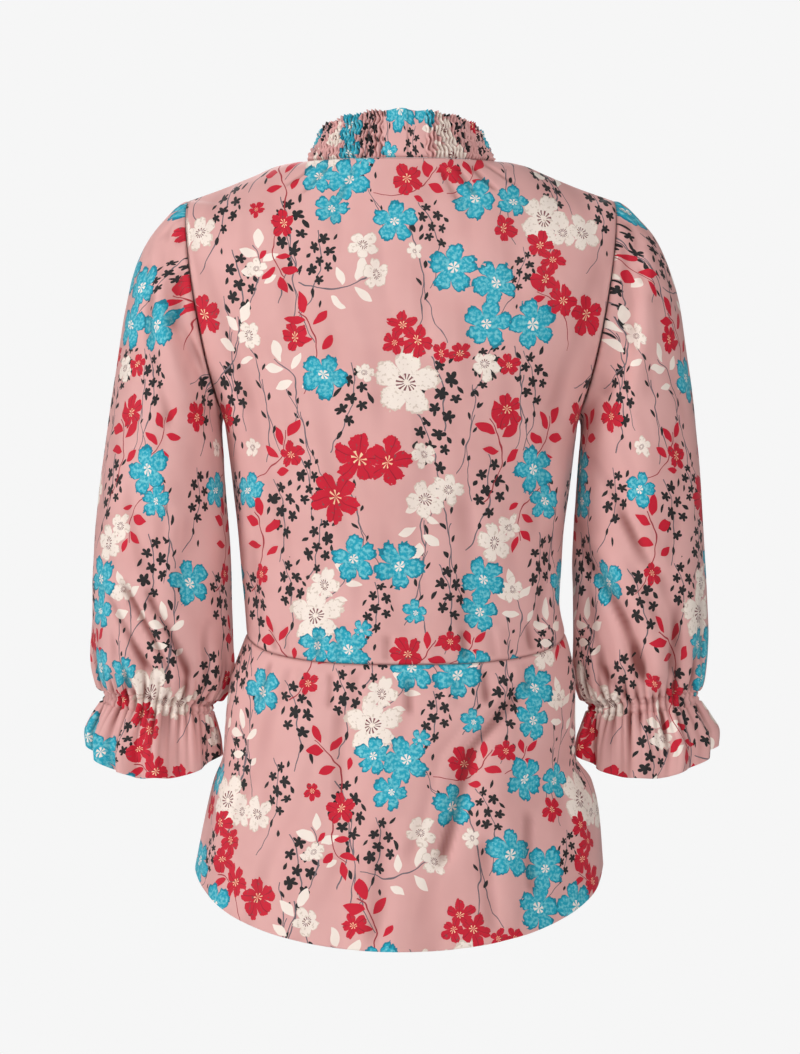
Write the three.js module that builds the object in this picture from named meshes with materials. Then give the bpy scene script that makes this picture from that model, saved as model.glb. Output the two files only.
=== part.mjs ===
// A blouse with a smocked stand collar, full three-quarter sleeves and a flared peplum, worn and hollow.
// Sizes are in millimetres. +Z is up, the back of the blouse faces +Y and its left sleeve is on +X.
// The origin is on the middle plane, at the height of the neck seam between the tops of the shoulders.

import * as THREE from "three";

// Cloth: the thickness of every wall and the space left between two pieces where a seam joins them.
const WALL = 1.2;
const SEAM_GAP = 0.3;

// How finely each piece is divided.
const PANEL_COLUMNS = 18;
const SHOULDER_ROWS = 4;
const ARMHOLE_ROWS = 12;
const SIDE_ROWS = 8;
const PEPLUM_ROWS = 8;
const SLEEVE_STEPS = 2 * ARMHOLE_ROWS;
const GATHERED_POINTS_PER_STEP = 3;
const COLLAR_ROWS = 5;
const COLLAR_POINTS_PER_COLUMN = 5;
const COLLAR_INSIDE_ROWS = 2;

// The shoulder seam, from the neck point out to the head of the sleeve.
const SHOULDER_SEAM = [
  { row: 0, x: 80, z: 0 },
  { row: 1, x: 103, z: -2.5 },
  { row: 2, x: 127, z: -12 },
  { row: 3, x: 154, z: -23 },
  { row: 4, x: 182, z: -33 },
];

// The armhole is a leaning loop from the head of the sleeve to the armpit.
const SLEEVE_HEAD = new THREE.Vector3(182, 0, -33);
const ARMPIT = new THREE.Vector3(150, 5, -218);
const ARMHOLE_BACK_DEPTH = 52;
const ARMHOLE_FRONT_DEPTH = 52;
const ARMHOLE_BACK_BULGE = 9;
const ARMHOLE_FRONT_BULGE = 2;

// The side seam below the armpit, for the left and the right side of the body.
const SIDE_SEAM = [
  { row: 0, leftX: 150, rightX: 150, y: 5, z: -218 },
  { row: 1.3, leftX: 147.2, rightX: 147.6, y: 4.5, z: -248 },
  { row: 2.6, leftX: 144, rightX: 144.3, y: 4, z: -278 },
  { row: 4.1, leftX: 140.3, rightX: 140, y: 3, z: -312 },
  { row: 5.4, leftX: 137.8, rightX: 138, y: 2, z: -343 },
  { row: 6.8, leftX: 134.6, rightX: 136, y: 1, z: -376 },
  { row: 8, leftX: 132.6, rightX: 141, y: 0, z: -404 },
];

// Rows of the back bodice: where a row crosses the middle, how far it has turned at its edge in degrees,
// how full its curve is, and how late it climbs to the height of its edge.
const BACK_BODICE = [
  { row: 0, y: 55, z: 0, turn: 90, full: 0.55, rise: 1 },
  { row: 2, y: 66, z: -19, turn: 74, full: 0.57, rise: 1 },
  { row: 4, y: 78, z: -42, turn: 51, full: 0.62, rise: 1 },
  { row: 7, y: 93, z: -84, turn: 46, full: 0.66, rise: 1 },
  { row: 10, y: 102, z: -132, turn: 47, full: 0.67, rise: 1.2 },
  { row: 13, y: 105, z: -188, turn: 60, full: 0.65, rise: 2 },
  { row: 16, y: 101, z: -246, turn: 88, full: 0.6, rise: 3 },
  { row: 20, y: 88, z: -330, turn: 90, full: 0.58, rise: 2 },
  { row: 24, y: 80, z: -430, turn: 90, full: 0.56, rise: 1.3 },
];

// Rows of the front bodice, read in the same way.
const FRONT_BODICE = [
  { row: 0, y: -62, z: -62, turn: 90, full: 0.55, rise: 1 },
  { row: 2, y: -74, z: -78, turn: 74, full: 0.57, rise: 1 },
  { row: 4, y: -83, z: -96, turn: 54, full: 0.66, rise: 1 },
  { row: 7, y: -98, z: -130, turn: 49, full: 0.71, rise: 1 },
  { row: 10, y: -109, z: -170, turn: 51, full: 0.73, rise: 1.2 },
  { row: 13, y: -116, z: -212, turn: 62, full: 0.71, rise: 2 },
  { row: 16, y: -117, z: -258, turn: 88, full: 0.65, rise: 3 },
  { row: 20, y: -108, z: -334, turn: 90, full: 0.58, rise: 2 },
  { row: 24, y: -95, z: -425, turn: 90, full: 0.56, rise: 1.3 },
];

// The edges of the peplum, from the waist seam down to the hem at the side.
const PEPLUM_SIDE = [
  { row: 0, leftX: 132.6, rightX: 141, y: 0, z: -404 },
  { row: 0.6, leftX: 138, rightX: 145, y: 0, z: -418 },
  { row: 1.6, leftX: 147, rightX: 150, y: 0, z: -445 },
  { row: 3, leftX: 151, rightX: 149.5, y: 0, z: -480 },
  { row: 4.1, leftX: 153, rightX: 150, y: 0, z: -508 },
  { row: 5, leftX: 161, rightX: 164, y: 0, z: -530 },
  { row: 6.2, leftX: 168, rightX: 170.5, y: 0, z: -559 },
  { row: 8, leftX: 176.5, rightX: 174, y: 0, z: -602 },
];

// Rows of the back and the front peplum, read as those of the bodice are.
const BACK_PEPLUM = [
  { row: 0, y: 80, z: -430, turn: 90, full: 0.56, rise: 1.3 },
  { row: 1, y: 85, z: -456, turn: 90, full: 0.57, rise: 1.2 },
  { row: 3, y: 96, z: -518, turn: 90, full: 0.58, rise: 1.1 },
  { row: 5.5, y: 107, z: -593, turn: 90, full: 0.58, rise: 1 },
  { row: 8, y: 115, z: -668, turn: 90, full: 0.57, rise: 1 },
];
const FRONT_PEPLUM = [
  { row: 0, y: -95, z: -425, turn: 90, full: 0.56, rise: 1.3 },
  { row: 1, y: -99, z: -452, turn: 90, full: 0.57, rise: 1.2 },
  { row: 3, y: -106, z: -512, turn: 90, full: 0.58, rise: 1.1 },
  { row: 5.5, y: -112, z: -587, turn: 90, full: 0.58, rise: 1 },
  { row: 8, y: -117, z: -661, turn: 90, full: 0.57, rise: 1 },
];

// Rings of a sleeve, from the armhole down to the hem of its frill. The outer and inner ends of a ring
// are the edges seen from behind, and sag is how much lower it hangs at its back and front.
const SLEEVE_RINGS = [
  { ring: 0, leftOut: 182, rightOut: 182, outZ: -33, leftIn: 150, rightIn: 150, inZ: -218, back: 55, front: -50, sag: 0 },
  { ring: 1, leftOut: 191, rightOut: 191, outZ: -38, leftIn: 152, rightIn: 152, inZ: -220, back: 58, front: -53, sag: 0 },
  { ring: 2, leftOut: 203, rightOut: 203, outZ: -49, leftIn: 153.3, rightIn: 153.3, inZ: -223, back: 60, front: -55, sag: 0 },
  { ring: 3, leftOut: 216, rightOut: 217, outZ: -65, leftIn: 154, rightIn: 154, inZ: -228, back: 62, front: -57, sag: 0 },
  { ring: 4, leftOut: 227.5, rightOut: 229, outZ: -90, leftIn: 154, rightIn: 154, inZ: -234, back: 63, front: -59, sag: 0 },
  { ring: 5, leftOut: 235, rightOut: 238, outZ: -120, leftIn: 153.5, rightIn: 153.5, inZ: -242, back: 64, front: -60, sag: 0 },
  { ring: 6, leftOut: 242, rightOut: 244.5, outZ: -160, leftIn: 152.5, rightIn: 152.5, inZ: -253, back: 64, front: -61, sag: 0 },
  { ring: 7, leftOut: 248.5, rightOut: 251, outZ: -205, leftIn: 151.5, rightIn: 151.5, inZ: -268, back: 63, front: -62, sag: 0 },
  { ring: 8, leftOut: 255, rightOut: 256, outZ: -250, leftIn: 150, rightIn: 150, inZ: -288, back: 62, front: -64, sag: 0 },
  { ring: 9, leftOut: 260.5, rightOut: 259.5, outZ: -290, leftIn: 148.3, rightIn: 148.3, inZ: -312, back: 60, front: -67, sag: 0 },
  { ring: 10, leftOut: 264.3, rightOut: 261.6, outZ: -328, leftIn: 146.5, rightIn: 147.6, inZ: -341, back: 56, front: -70, sag: 0 },
  { ring: 11, leftOut: 265.8, rightOut: 262.8, outZ: -364, leftIn: 146.5, rightIn: 148.8, inZ: -370, back: 51, front: -74, sag: 0 },
  { ring: 12, leftOut: 265, rightOut: 263, outZ: -397, leftIn: 146.3, rightIn: 149, inZ: -400, back: 45, front: -78, sag: 0 },
  { ring: 13, leftOut: 263.5, rightOut: 261.7, outZ: -425, leftIn: 146.4, rightIn: 149.5, inZ: -429, back: 38, front: -80, sag: 0 },
  { ring: 14, leftOut: 260, rightOut: 259.2, outZ: -444, leftIn: 150.5, rightIn: 153, inZ: -449, back: 28, front: -79, sag: 0 },
  { ring: 15, leftOut: 256, rightOut: 256, outZ: -453, leftIn: 158.5, rightIn: 158.5, inZ: -460, back: 19, front: -74, sag: 1 },
  { ring: 16, leftOut: 254, rightOut: 253.8, outZ: -460, leftIn: 165, rightIn: 165, inZ: -468, back: 14, front: -70, sag: 2 },
  { ring: 17, leftOut: 258, rightOut: 257.5, outZ: -467, leftIn: 163, rightIn: 162, inZ: -475, back: 17, front: -73, sag: 4 },
  { ring: 18, leftOut: 265, rightOut: 264, outZ: -478, leftIn: 160, rightIn: 158, inZ: -485, back: 22, front: -78, sag: 9 },
  { ring: 19, leftOut: 270, rightOut: 270, outZ: -491, leftIn: 158, rightIn: 155, inZ: -497, back: 26, front: -82, sag: 16 },
  { ring: 20, leftOut: 268, rightOut: 268, outZ: -504, leftIn: 158, rightIn: 155, inZ: -508, back: 28, front: -84, sag: 22 },
];
const FIRST_GATHERED_RING = 14;
const LAST_RING = 20;
const ARMHOLE_SHAPE_ENDS_AT_RING = 7;

// The gathers held by the elastic and the flutes of the frill below it.
const GATHER_HEIGHT = 1.5;
const GATHERS = [
  { ring: 14, height: 0.25 },
  { ring: 15, height: 0.9 },
  { ring: 16, height: 1 },
  { ring: 17, height: 0.9 },
  { ring: 18, height: 0.45 },
  { ring: 19, height: 0.15 },
  { ring: 20, height: 0 },
];
const FRILL_FLUTES = 11;
const FRILL_DEPTH = [
  { ring: 16, depth: 0 },
  { ring: 17, depth: 0.6 },
  { ring: 18, depth: 1.8 },
  { ring: 19, depth: 2.8 },
  { ring: 20, depth: 3.6 },
];
const FRILL_HEM_LIFT = 0.35;

// The collar: the top edge stands in from the neck seam and leans forward with the neck.
const COLLAR_TOP_HALF_WIDTH = 69;
const COLLAR_TOP_BACK_Y = 44;
const COLLAR_TOP_FRONT_Y = -68;
const COLLAR_TOP_SIDE_Z = 23;
const COLLAR_TOP_BACK_Z = 41.5;
const COLLAR_TOP_FRONT_Z = -22;
// Each row of the smocking: how high its gathers stand and how far they wander sideways, in points.
const SMOCKING = [
  { row: 0, height: 0, shift: 0 },
  { row: 1, height: 1.5, shift: 0.3 },
  { row: 2, height: 1.1, shift: -0.25 },
  { row: 3, height: 1.7, shift: 0.25 },
  { row: 4, height: 1.2, shift: -0.3 },
  { row: 5, height: 2, shift: 0.1 },
];
const PLAIN_PART_FROM_X = -21;
const PLAIN_PART_TO_X = 14;
const TOP_EDGE_WAVES = 17;
const TOP_EDGE_WAVE_HEIGHT = 0.9;

// Soft folds: a line of three points as seen from behind, its half width and how far it goes in.
const PEPLUM_FOLDS = [
  { x1: -112, z1: -440, x2: -60, z2: -497, x3: -34, z3: -590, width: 17, depth: -4.5 },
  { x1: -75, z1: -470, x2: -88, z2: -560, x3: -96, z3: -660, width: 20, depth: 4 },
  { x1: -112, z1: -520, x2: -112, z2: -580, x3: -118, z3: -650, width: 13, depth: -3.5 },
  { x1: 50, z1: -480, x2: 54, z2: -570, x3: 56, z3: -668, width: 18, depth: -3.5 },
  { x1: 92, z1: -470, x2: 100, z2: -560, x3: 106, z3: -655, width: 20, depth: 3.5 },
  { x1: 6, z1: -520, x2: 4, z2: -600, x3: 8, z3: -668, width: 22, depth: 3 },
  { x1: 128, z1: -440, x2: 134, z2: -520, x3: 142, z3: -625, width: 12, depth: -3 },
];
const LEFT_SLEEVE_FOLDS = [
  { x1: 203, z1: -62, x2: 196, z2: -120, x3: 172, z3: -190, width: 11, depth: -3.5 },
  { x1: 222, z1: -150, x2: 226, z2: -230, x3: 218, z3: -310, width: 15, depth: -2.5 },
  { x1: 176, z1: -452, x2: 186, z2: -410, x3: 214, z3: -360, width: 10, depth: -3 },
  { x1: 214, z1: -452, x2: 220, z2: -415, x3: 236, z3: -370, width: 9, depth: -2.5 },
  { x1: 160, z1: -260, x2: 174, z2: -320, x3: 180, z3: -390, width: 12, depth: -2.5 },
];
const RIGHT_SLEEVE_FOLDS = [
  { x1: -203, z1: -60, x2: -196, z2: -110, x3: -178, z3: -175, width: 11, depth: -3 },
  { x1: -156, z1: -337, x2: -191, z2: -397, x3: -206, z3: -446, width: 10, depth: -3.5 },
  { x1: -152, z1: -300, x2: -169, z2: -400, x3: -186, z3: -455, width: 9, depth: -3 },
  { x1: -228, z1: -160, x2: -232, z2: -250, x3: -222, z3: -340, width: 15, depth: -2.5 },
  { x1: -238, z1: -452, x2: -232, z2: -415, x3: -214, z3: -365, width: 9, depth: -2.5 },
];

const CLOTH_PINK = 0xdda39d;
const CLOTH_ROUGHNESS = 0.75;
const CLOTH_METALNESS = 0;

const TINY_STEP = 1e-3;
const DEGREE = Math.PI / 180;

// Reads one column of a table at any place along it, through a smooth curve that never overshoots.
function readTable(table, key, column, at) {
  const last = table.length - 1;
  const place = Math.min(Math.max(at, table[0][key]), table[last][key]);
  let i = 0;
  while (i < last - 1 && place > table[i + 1][key]) {
    i += 1;
  }
  const slope = (k) => (table[k + 1][column] - table[k][column]) / (table[k + 1][key] - table[k][key]);
  const tangent = (k) => {
    if (k === 0) {
      return slope(0);
    }
    if (k === last) {
      return slope(last - 1);
    }
    const before = slope(k - 1);
    const after = slope(k);
    return before * after > 0 ? (2 * before * after) / (before + after) : 0;
  };
  const span = table[i + 1][key] - table[i][key];
  const t = (place - table[i][key]) / span;
  const startWeight = (1 + 2 * t) * (1 - t) ** 2;
  const endWeight = t * t * (3 - 2 * t);
  const startTangent = t * (1 - t) ** 2 * span * tangent(i);
  const endTangent = t * t * (t - 1) * span * tangent(i + 1);
  return startWeight * table[i][column] + endWeight * table[i + 1][column] + startTangent + endTangent;
}

function mix(from, to, share) {
  return from + (to - from) * share;
}

function smoothStep(from, to, value) {
  const t = Math.min(Math.max((value - from) / (to - from), 0), 1);
  return t * t * (3 - 2 * t);
}

// How far a place seen from behind, at x and z, is pushed in or out by a list of folds.
function foldDepth(folds, x, z) {
  let depth = 0;
  for (const fold of folds) {
    const line = [
      { z: fold.z1, x: fold.x1 },
      { z: fold.z2, x: fold.x2 },
      { z: fold.z3, x: fold.x3 },
    ].sort((a, b) => a.z - b.z);
    const low = line[0].z;
    const high = line[2].z;
    const across = (x - readTable(line, "z", "x", z)) / fold.width;
    const fade = fold.width;
    const along = smoothStep(low - fade, low + fade, z) * (1 - smoothStep(high - fade, high + fade, z));
    depth += fold.depth * Math.exp(-across * across) * along;
  }
  return depth;
}

// A point of the armhole loop of the left sleeve. The angle is 0 at the head and half a turn at the armpit,
// with the back of the loop in the first half and the front in the second.
function armholePoint(angle) {
  const lean = SLEEVE_HEAD.clone().sub(ARMPIT).multiplyScalar(0.5);
  const point = SLEEVE_HEAD.clone().add(ARMPIT).multiplyScalar(0.5).addScaledVector(lean, Math.cos(angle));
  const side = Math.sin(angle);
  const depth = side > 0 ? ARMHOLE_BACK_DEPTH : ARMHOLE_FRONT_DEPTH;
  const bulge = side > 0 ? ARMHOLE_BACK_BULGE : ARMHOLE_FRONT_BULGE;
  const outward = new THREE.Vector3(lean.z, 0, -lean.x).normalize();
  point.y += side * depth;
  return point.addScaledVector(outward, Math.abs(side) * bulge);
}

// The edge of a bodice panel at a row: the shoulder seam, then the armhole, then the side seam.
function bodiceEdge(row, facing, side) {
  const armholeEnd = SHOULDER_ROWS + ARMHOLE_ROWS;
  if (row <= SHOULDER_ROWS) {
    const x = readTable(SHOULDER_SEAM, "row", "x", row);
    const z = readTable(SHOULDER_SEAM, "row", "z", row);
    return new THREE.Vector3(x, 0, z);
  }
  if (row <= armholeEnd) {
    return armholePoint((facing * Math.PI * (row - SHOULDER_ROWS)) / ARMHOLE_ROWS);
  }
  return sideEdge(SIDE_SEAM, row - armholeEnd, side);
}

function sideEdge(table, row, side) {
  const x = readTable(table, "row", side > 0 ? "leftX" : "rightX", row);
  const y = readTable(table, "row", "y", row);
  const z = readTable(table, "row", "z", row);
  return new THREE.Vector3(x, y, z);
}

function cubic(a, b, c, d, t) {
  const rest = 1 - t;
  return rest ** 3 * a + 3 * rest * rest * t * b + 3 * rest * t * t * c + t ** 3 * d;
}

// A point of a panel. Across runs from -1 at its right edge through 0 in the middle to 1 at its left edge.
// Each half of a row is one curve that leaves the middle straight sideways and turns towards its edge.
function rowPoint(table, edgeOf, folds, row, across) {
  const side = across < 0 ? -1 : 1;
  const t = Math.abs(across);
  const edge = edgeOf(row, side);
  const middleY = readTable(table, "row", "y", row);
  const middleZ = readTable(table, "row", "z", row);
  const turn = readTable(table, "row", "turn", row) * DEGREE;
  const full = readTable(table, "row", "full", row);
  const rise = readTable(table, "row", "rise", row);
  const depth = middleY - edge.y;
  const cornerX = edge.x - Math.abs(depth) / Math.tan(turn);
  const x = cubic(0, full * cornerX, mix(edge.x, cornerX, full), edge.x, t);
  const y = cubic(middleY, middleY, edge.y + full * depth, edge.y, t);
  const z = mix(middleZ, edge.z, Math.max((middleY - y) / depth, 0) ** rise);
  const facing = Math.sign(middleY);
  const point = new THREE.Vector3(side * x, y + (facing * SEAM_GAP) / 2, z);
  point.y += facing * foldDepth(folds, facing * point.x, z) * (1 - smoothStep(0.7, 1, t));
  return point;
}

// The normal of a surface, from tiny steps along it that stay inside its limits.
function normalOf(surface, u, v, limits) {
  const uTo = Math.min(u + TINY_STEP, limits.uTo);
  const uFrom = Math.max(u - TINY_STEP, limits.uFrom);
  const vTo = Math.min(v + TINY_STEP, limits.vTo);
  const vFrom = Math.max(v - TINY_STEP, limits.vFrom);
  const alongU = surface(uTo, v).sub(surface(uFrom, v));
  const alongV = surface(u, vTo).sub(surface(u, vFrom));
  return alongU.cross(alongV).normalize();
}

// Joins two rows of points with triangles. One row may have a whole number of times as many as the other.
function joinRows(faces, upper, lower, closed) {
  const swap = lower.length < upper.length;
  const few = swap ? lower : upper;
  const many = swap ? upper : lower;
  const steps = closed ? few.length : few.length - 1;
  const ratio = closed ? many.length / few.length : (many.length - 1) / (few.length - 1);
  const middle = Math.floor(ratio / 2);
  const add = (a, b, c) => faces.push(a, swap ? c : b, swap ? b : c);
  for (let i = 0; i < steps; i += 1) {
    const here = few[i];
    const next = few[(i + 1) % few.length];
    for (let k = 0; k < ratio; k += 1) {
      const from = many[i * ratio + k];
      const to = many[(i * ratio + k + 1) % many.length];
      if (k === middle) {
        add(here, from, next);
      }
      add(k < middle ? here : next, from, to);
    }
  }
}

// Makes a mesh of points and faces, turning the faces over if they would point inwards.
function closedMesh(name, points, faces) {
  const cross = new THREE.Vector3();
  let volume = 0;
  for (let i = 0; i < faces.length; i += 3) {
    volume += cross.crossVectors(points[faces[i]], points[faces[i + 1]]).dot(points[faces[i + 2]]);
  }
  const coordinates = points.flatMap((point) => [point.x, point.y, point.z]);
  const geometry = new THREE.BufferGeometry();
  geometry.setAttribute("position", new THREE.Float32BufferAttribute(coordinates, 3));
  geometry.setIndex(volume > 0 ? faces : faces.toReversed());
  geometry.computeVertexNormals();
  const material = new THREE.MeshStandardMaterial({
    color: CLOTH_PINK,
    roughness: CLOTH_ROUGHNESS,
    metalness: CLOTH_METALNESS,
  });
  material.name = `${name}_cloth`;
  const mesh = new THREE.Mesh(geometry, material);
  mesh.name = name;
  return mesh;
}

// Takes out of a step through the wall whatever would lean over a seam into the piece beyond it.
function keepBehindSeam(inward, beyond) {
  for (const direction of beyond) {
    inward.addScaledVector(direction, -Math.max(inward.dot(direction), 0));
  }
}

// A panel is an outer sheet, an inner sheet one wall thickness behind it, and the edges between them.
// Beyond tells which ways the next pieces lie at a place on the panel's edge.
function panelMesh(name, surface, rows, beyond) {
  const points = [];
  const faces = [];
  const outside = [];
  const inside = [];
  const facing = Math.sign(surface(0, 0).y);
  const limits = { uFrom: 0, uTo: rows, vFrom: -1, vTo: 1 };
  for (let row = 0; row <= rows; row += 1) {
    outside.push([]);
    inside.push([]);
    for (let column = 0; column <= PANEL_COLUMNS; column += 1) {
      const across = (2 * column) / PANEL_COLUMNS - 1;
      const point = surface(row, across);
      const inward = normalOf(surface, row, across, limits).multiplyScalar(facing * WALL);
      keepBehindSeam(inward, beyond(row, across, facing));
      outside[row].push(points.push(point) - 1);
      inside[row].push(points.push(point.clone().add(inward)) - 1);
    }
  }
  const around = (row) => [...outside[row], ...inside[row].toReversed()];
  for (let row = 0; row < rows; row += 1) {
    joinRows(faces, around(row), around(row + 1), true);
  }
  joinRows(faces, inside[0], outside[0], false);
  joinRows(faces, outside[rows], inside[rows], false);
  return closedMesh(name, points, faces);
}

// A tube is closed all the way round by joining each ring to the next and the last one to the first.
function tubeMesh(name, rings) {
  const points = rings.flat();
  const faces = [];
  let count = 0;
  const numbered = rings.map((ring) => ring.map(() => count++));
  numbered.forEach((ring, i) => joinRows(faces, ring, numbered[(i + 1) % numbered.length], true));
  return closedMesh(name, points, faces);
}

// Beyond the shoulder seam and the side seam lies the panel on the other side of the body.
function beyondSideSeam(row, across, facing) {
  return Math.abs(across) === 1 ? [new THREE.Vector3(0, -facing, 0)] : [];
}

// Beyond the neck seam lies the collar, and beyond the armhole the sleeve. At the two ends of the armhole
// the other panel lies beyond as well.
function beyondBodiceEdge(row, across, facing) {
  const step = row - SHOULDER_ROWS;
  const directions = [];
  if (row === 0) {
    const place = PANEL_COLUMNS * (facing > 0 ? (across + 1) / 2 : (3 - across) / 2);
    directions.push(collarStart(place));
  }
  if (step <= 0 || step >= ARMHOLE_ROWS) {
    directions.push(...beyondSideSeam(row, across, facing));
  }
  if (Math.abs(across) === 1 && step >= 0 && step <= ARMHOLE_ROWS) {
    const direction = sleeveStart((facing * Math.PI * step) / ARMHOLE_ROWS, across);
    direction.x *= across;
    directions.push(direction);
  }
  return directions;
}

function bodiceSurface(table) {
  const facing = Math.sign(table[0].y);
  const edgeOf = (row, side) => bodiceEdge(row, facing, side);
  return (row, across) => rowPoint(table, edgeOf, [], row, across);
}

function peplumSurface(table) {
  const edgeOf = (row, side) => sideEdge(PEPLUM_SIDE, row, side);
  return (row, across) => {
    const point = rowPoint(table, edgeOf, PEPLUM_FOLDS, row, across);
    point.z -= SEAM_GAP;
    return point;
  };
}

// The neck seam as the straight steps of the back bodice's top edge and then the front one's.
function neckSeamPoint(place) {
  const steps = 2 * PANEL_COLUMNS;
  const wrapped = ((place % steps) + steps) % steps;
  const step = Math.floor(wrapped);
  const onBack = step < PANEL_COLUMNS;
  const surface = onBack ? backBodiceSurface : frontBodiceSurface;
  const acrossAt = (k) => (onBack ? (2 * k) / PANEL_COLUMNS - 1 : 3 - (2 * k) / PANEL_COLUMNS);
  return surface(0, acrossAt(step)).lerp(surface(0, acrossAt(step + 1)), wrapped - step);
}

// The top edge of the collar above a place on the neck seam.
function collarTopPoint(place) {
  const angle = (Math.PI * place) / PANEL_COLUMNS;
  const middleY = (COLLAR_TOP_BACK_Y + COLLAR_TOP_FRONT_Y) / 2;
  const side = Math.sin(angle);
  const x = -COLLAR_TOP_HALF_WIDTH * Math.cos(angle);
  const y = middleY + (COLLAR_TOP_BACK_Y - middleY) * side;
  const endZ = side > 0 ? COLLAR_TOP_BACK_Z : COLLAR_TOP_FRONT_Z;
  const wave = TOP_EDGE_WAVE_HEIGHT * Math.sin(TOP_EDGE_WAVES * angle);
  return new THREE.Vector3(x, y, mix(COLLAR_TOP_SIDE_Z, endZ, Math.abs(side)) + wave);
}

// The direction from one point to another, square to the seam that runs through the first.
function squareToSeam(from, to, seam) {
  const tangent = seam.normalize();
  const direction = to.clone().sub(from);
  return direction.addScaledVector(tangent, -direction.dot(tangent)).normalize();
}

// The way the collar sets off from the neck seam, square to the seam.
function collarStart(place) {
  const seam = neckSeamPoint(place + TINY_STEP).sub(neckSeamPoint(place - TINY_STEP));
  return squareToSeam(neckSeamPoint(place), collarTopPoint(place), seam);
}

// The collar without its gathers. It starts one seam gap above the neck seam.
function collarSurface(row, place) {
  const base = neckSeamPoint(place).addScaledVector(collarStart(place), SEAM_GAP);
  return base.lerp(collarTopPoint(place), row / COLLAR_ROWS);
}

// The gathers stand on the outer points only. The inside is plain, and so is a short part at centre back.
function collarMesh() {
  const count = 2 * PANEL_COLUMNS * COLLAR_POINTS_PER_COLUMN;
  const limits = { uFrom: 0, uTo: COLLAR_ROWS, vFrom: -Infinity, vTo: Infinity };
  const rings = [];
  for (let row = 0; row <= COLLAR_ROWS; row += 1) {
    const ring = [];
    for (let i = 0; i < count; i += 1) {
      const still = collarSurface(row, i / COLLAR_POINTS_PER_COLUMN);
      const plain = still.y > 0 && still.x > PLAIN_PART_FROM_X && still.x < PLAIN_PART_TO_X;
      const shift = plain ? 0 : SMOCKING[row].shift;
      const height = plain || i % 2 === 0 ? 0 : SMOCKING[row].height;
      const place = (i + shift) / COLLAR_POINTS_PER_COLUMN;
      const outward = normalOf(collarSurface, row, place, limits);
      ring.push(collarSurface(row, place).addScaledVector(outward, height));
    }
    rings.push(ring);
  }
  for (let row = COLLAR_INSIDE_ROWS; row >= 0; row -= 1) {
    const height = (COLLAR_ROWS * row) / COLLAR_INSIDE_ROWS;
    const ring = [];
    for (let i = 0; i < count; i += 2) {
      const place = i / COLLAR_POINTS_PER_COLUMN;
      const outward = normalOf(collarSurface, height, place, limits);
      ring.push(collarSurface(height, place).addScaledVector(outward, -WALL));
    }
    rings.push(ring);
  }
  return tubeMesh("collar", rings);
}

// A ring of a sleeve as an ellipse between its outer and inner ends, and which way is out from it.
function sleeveEllipse(ring, angle, side) {
  const read = (column) => readTable(SLEEVE_RINGS, "ring", column, ring);
  const out = new THREE.Vector3(read(side > 0 ? "leftOut" : "rightOut"), 0, read("outZ"));
  const inner = new THREE.Vector3(read(side > 0 ? "leftIn" : "rightIn"), 0, read("inZ"));
  const halfWidth = out.clone().sub(inner).multiplyScalar(0.5);
  const halfDepth = (read("back") - read("front")) / 2;
  const point = out.add(inner).multiplyScalar(0.5).addScaledVector(halfWidth, Math.cos(angle));
  point.y = (read("back") + read("front")) / 2 + halfDepth * Math.sin(angle);
  point.z -= read("sag") * Math.sin(angle) ** 2;
  const outward = halfWidth.clone().multiplyScalar(Math.cos(angle) / halfWidth.lengthSq());
  outward.y = Math.sin(angle) / halfDepth;
  return { point, outward: outward.normalize() };
}

// A point of the left sleeve, or of the right one turned over to the left, without its gathers.
function sleevePoint(ring, angle, side) {
  const { point, outward } = sleeveEllipse(ring, angle, side);
  const leftOver = 1 - smoothStep(0, ARMHOLE_SHAPE_ENDS_AT_RING, ring);
  const shapeOfArmhole = armholePoint(angle).sub(sleeveEllipse(0, angle, side).point);
  point.addScaledVector(shapeOfArmhole, leftOver);
  const fluteDepth = readTable(FRILL_DEPTH, "ring", "depth", ring);
  const flute = fluteDepth * Math.cos(FRILL_FLUTES * angle);
  const folds = side > 0 ? LEFT_SLEEVE_FOLDS : RIGHT_SLEEVE_FOLDS;
  const onFace = Math.abs(Math.sin(angle)) * smoothStep(0, 2, ring);
  const fold = onFace * foldDepth(folds, side * point.x, point.z);
  point.addScaledVector(outward, flute + fold);
  point.z += FRILL_HEM_LIFT * flute;
  return point;
}

// The way a sleeve sets off from the armhole, square to the seam.
function sleeveStart(angle, side) {
  const seam = armholePoint(angle + TINY_STEP).sub(armholePoint(angle - TINY_STEP));
  return squareToSeam(sleevePoint(0, angle, side), sleevePoint(1, angle, side), seam);
}

function sleeveMesh(name, side) {
  const surface = (ring, angle) => sleevePoint(ring, angle, side);
  const limits = { uFrom: 0, uTo: LAST_RING, vFrom: -Infinity, vTo: Infinity };
  const outside = [];
  const inside = [];
  for (let ring = 0; ring <= LAST_RING; ring += 1) {
    const gathered = ring >= FIRST_GATHERED_RING;
    const count = gathered ? SLEEVE_STEPS * GATHERED_POINTS_PER_STEP : SLEEVE_STEPS;
    const outer = [];
    const inner = [];
    for (let i = 0; i < count; i += 1) {
      const angle = (2 * Math.PI * i) / count;
      const point = surface(ring, angle);
      const outward = normalOf(surface, ring, angle, limits);
      if (ring === 0) {
        point.addScaledVector(sleeveStart(angle, side), SEAM_GAP);
      }
      const height = gathered && i % 2 === 1 ? GATHER_HEIGHT * readTable(GATHERS, "ring", "height", ring) : 0;
      inner.push(point.clone().addScaledVector(outward, -WALL));
      outer.push(point.addScaledVector(outward, height));
    }
    outside.push(outer);
    inside.unshift(inner);
  }
  const rings = [...outside, ...inside];
  rings.flat().forEach((point) => {
    point.x *= side;
  });
  return tubeMesh(name, rings);
}

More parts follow.
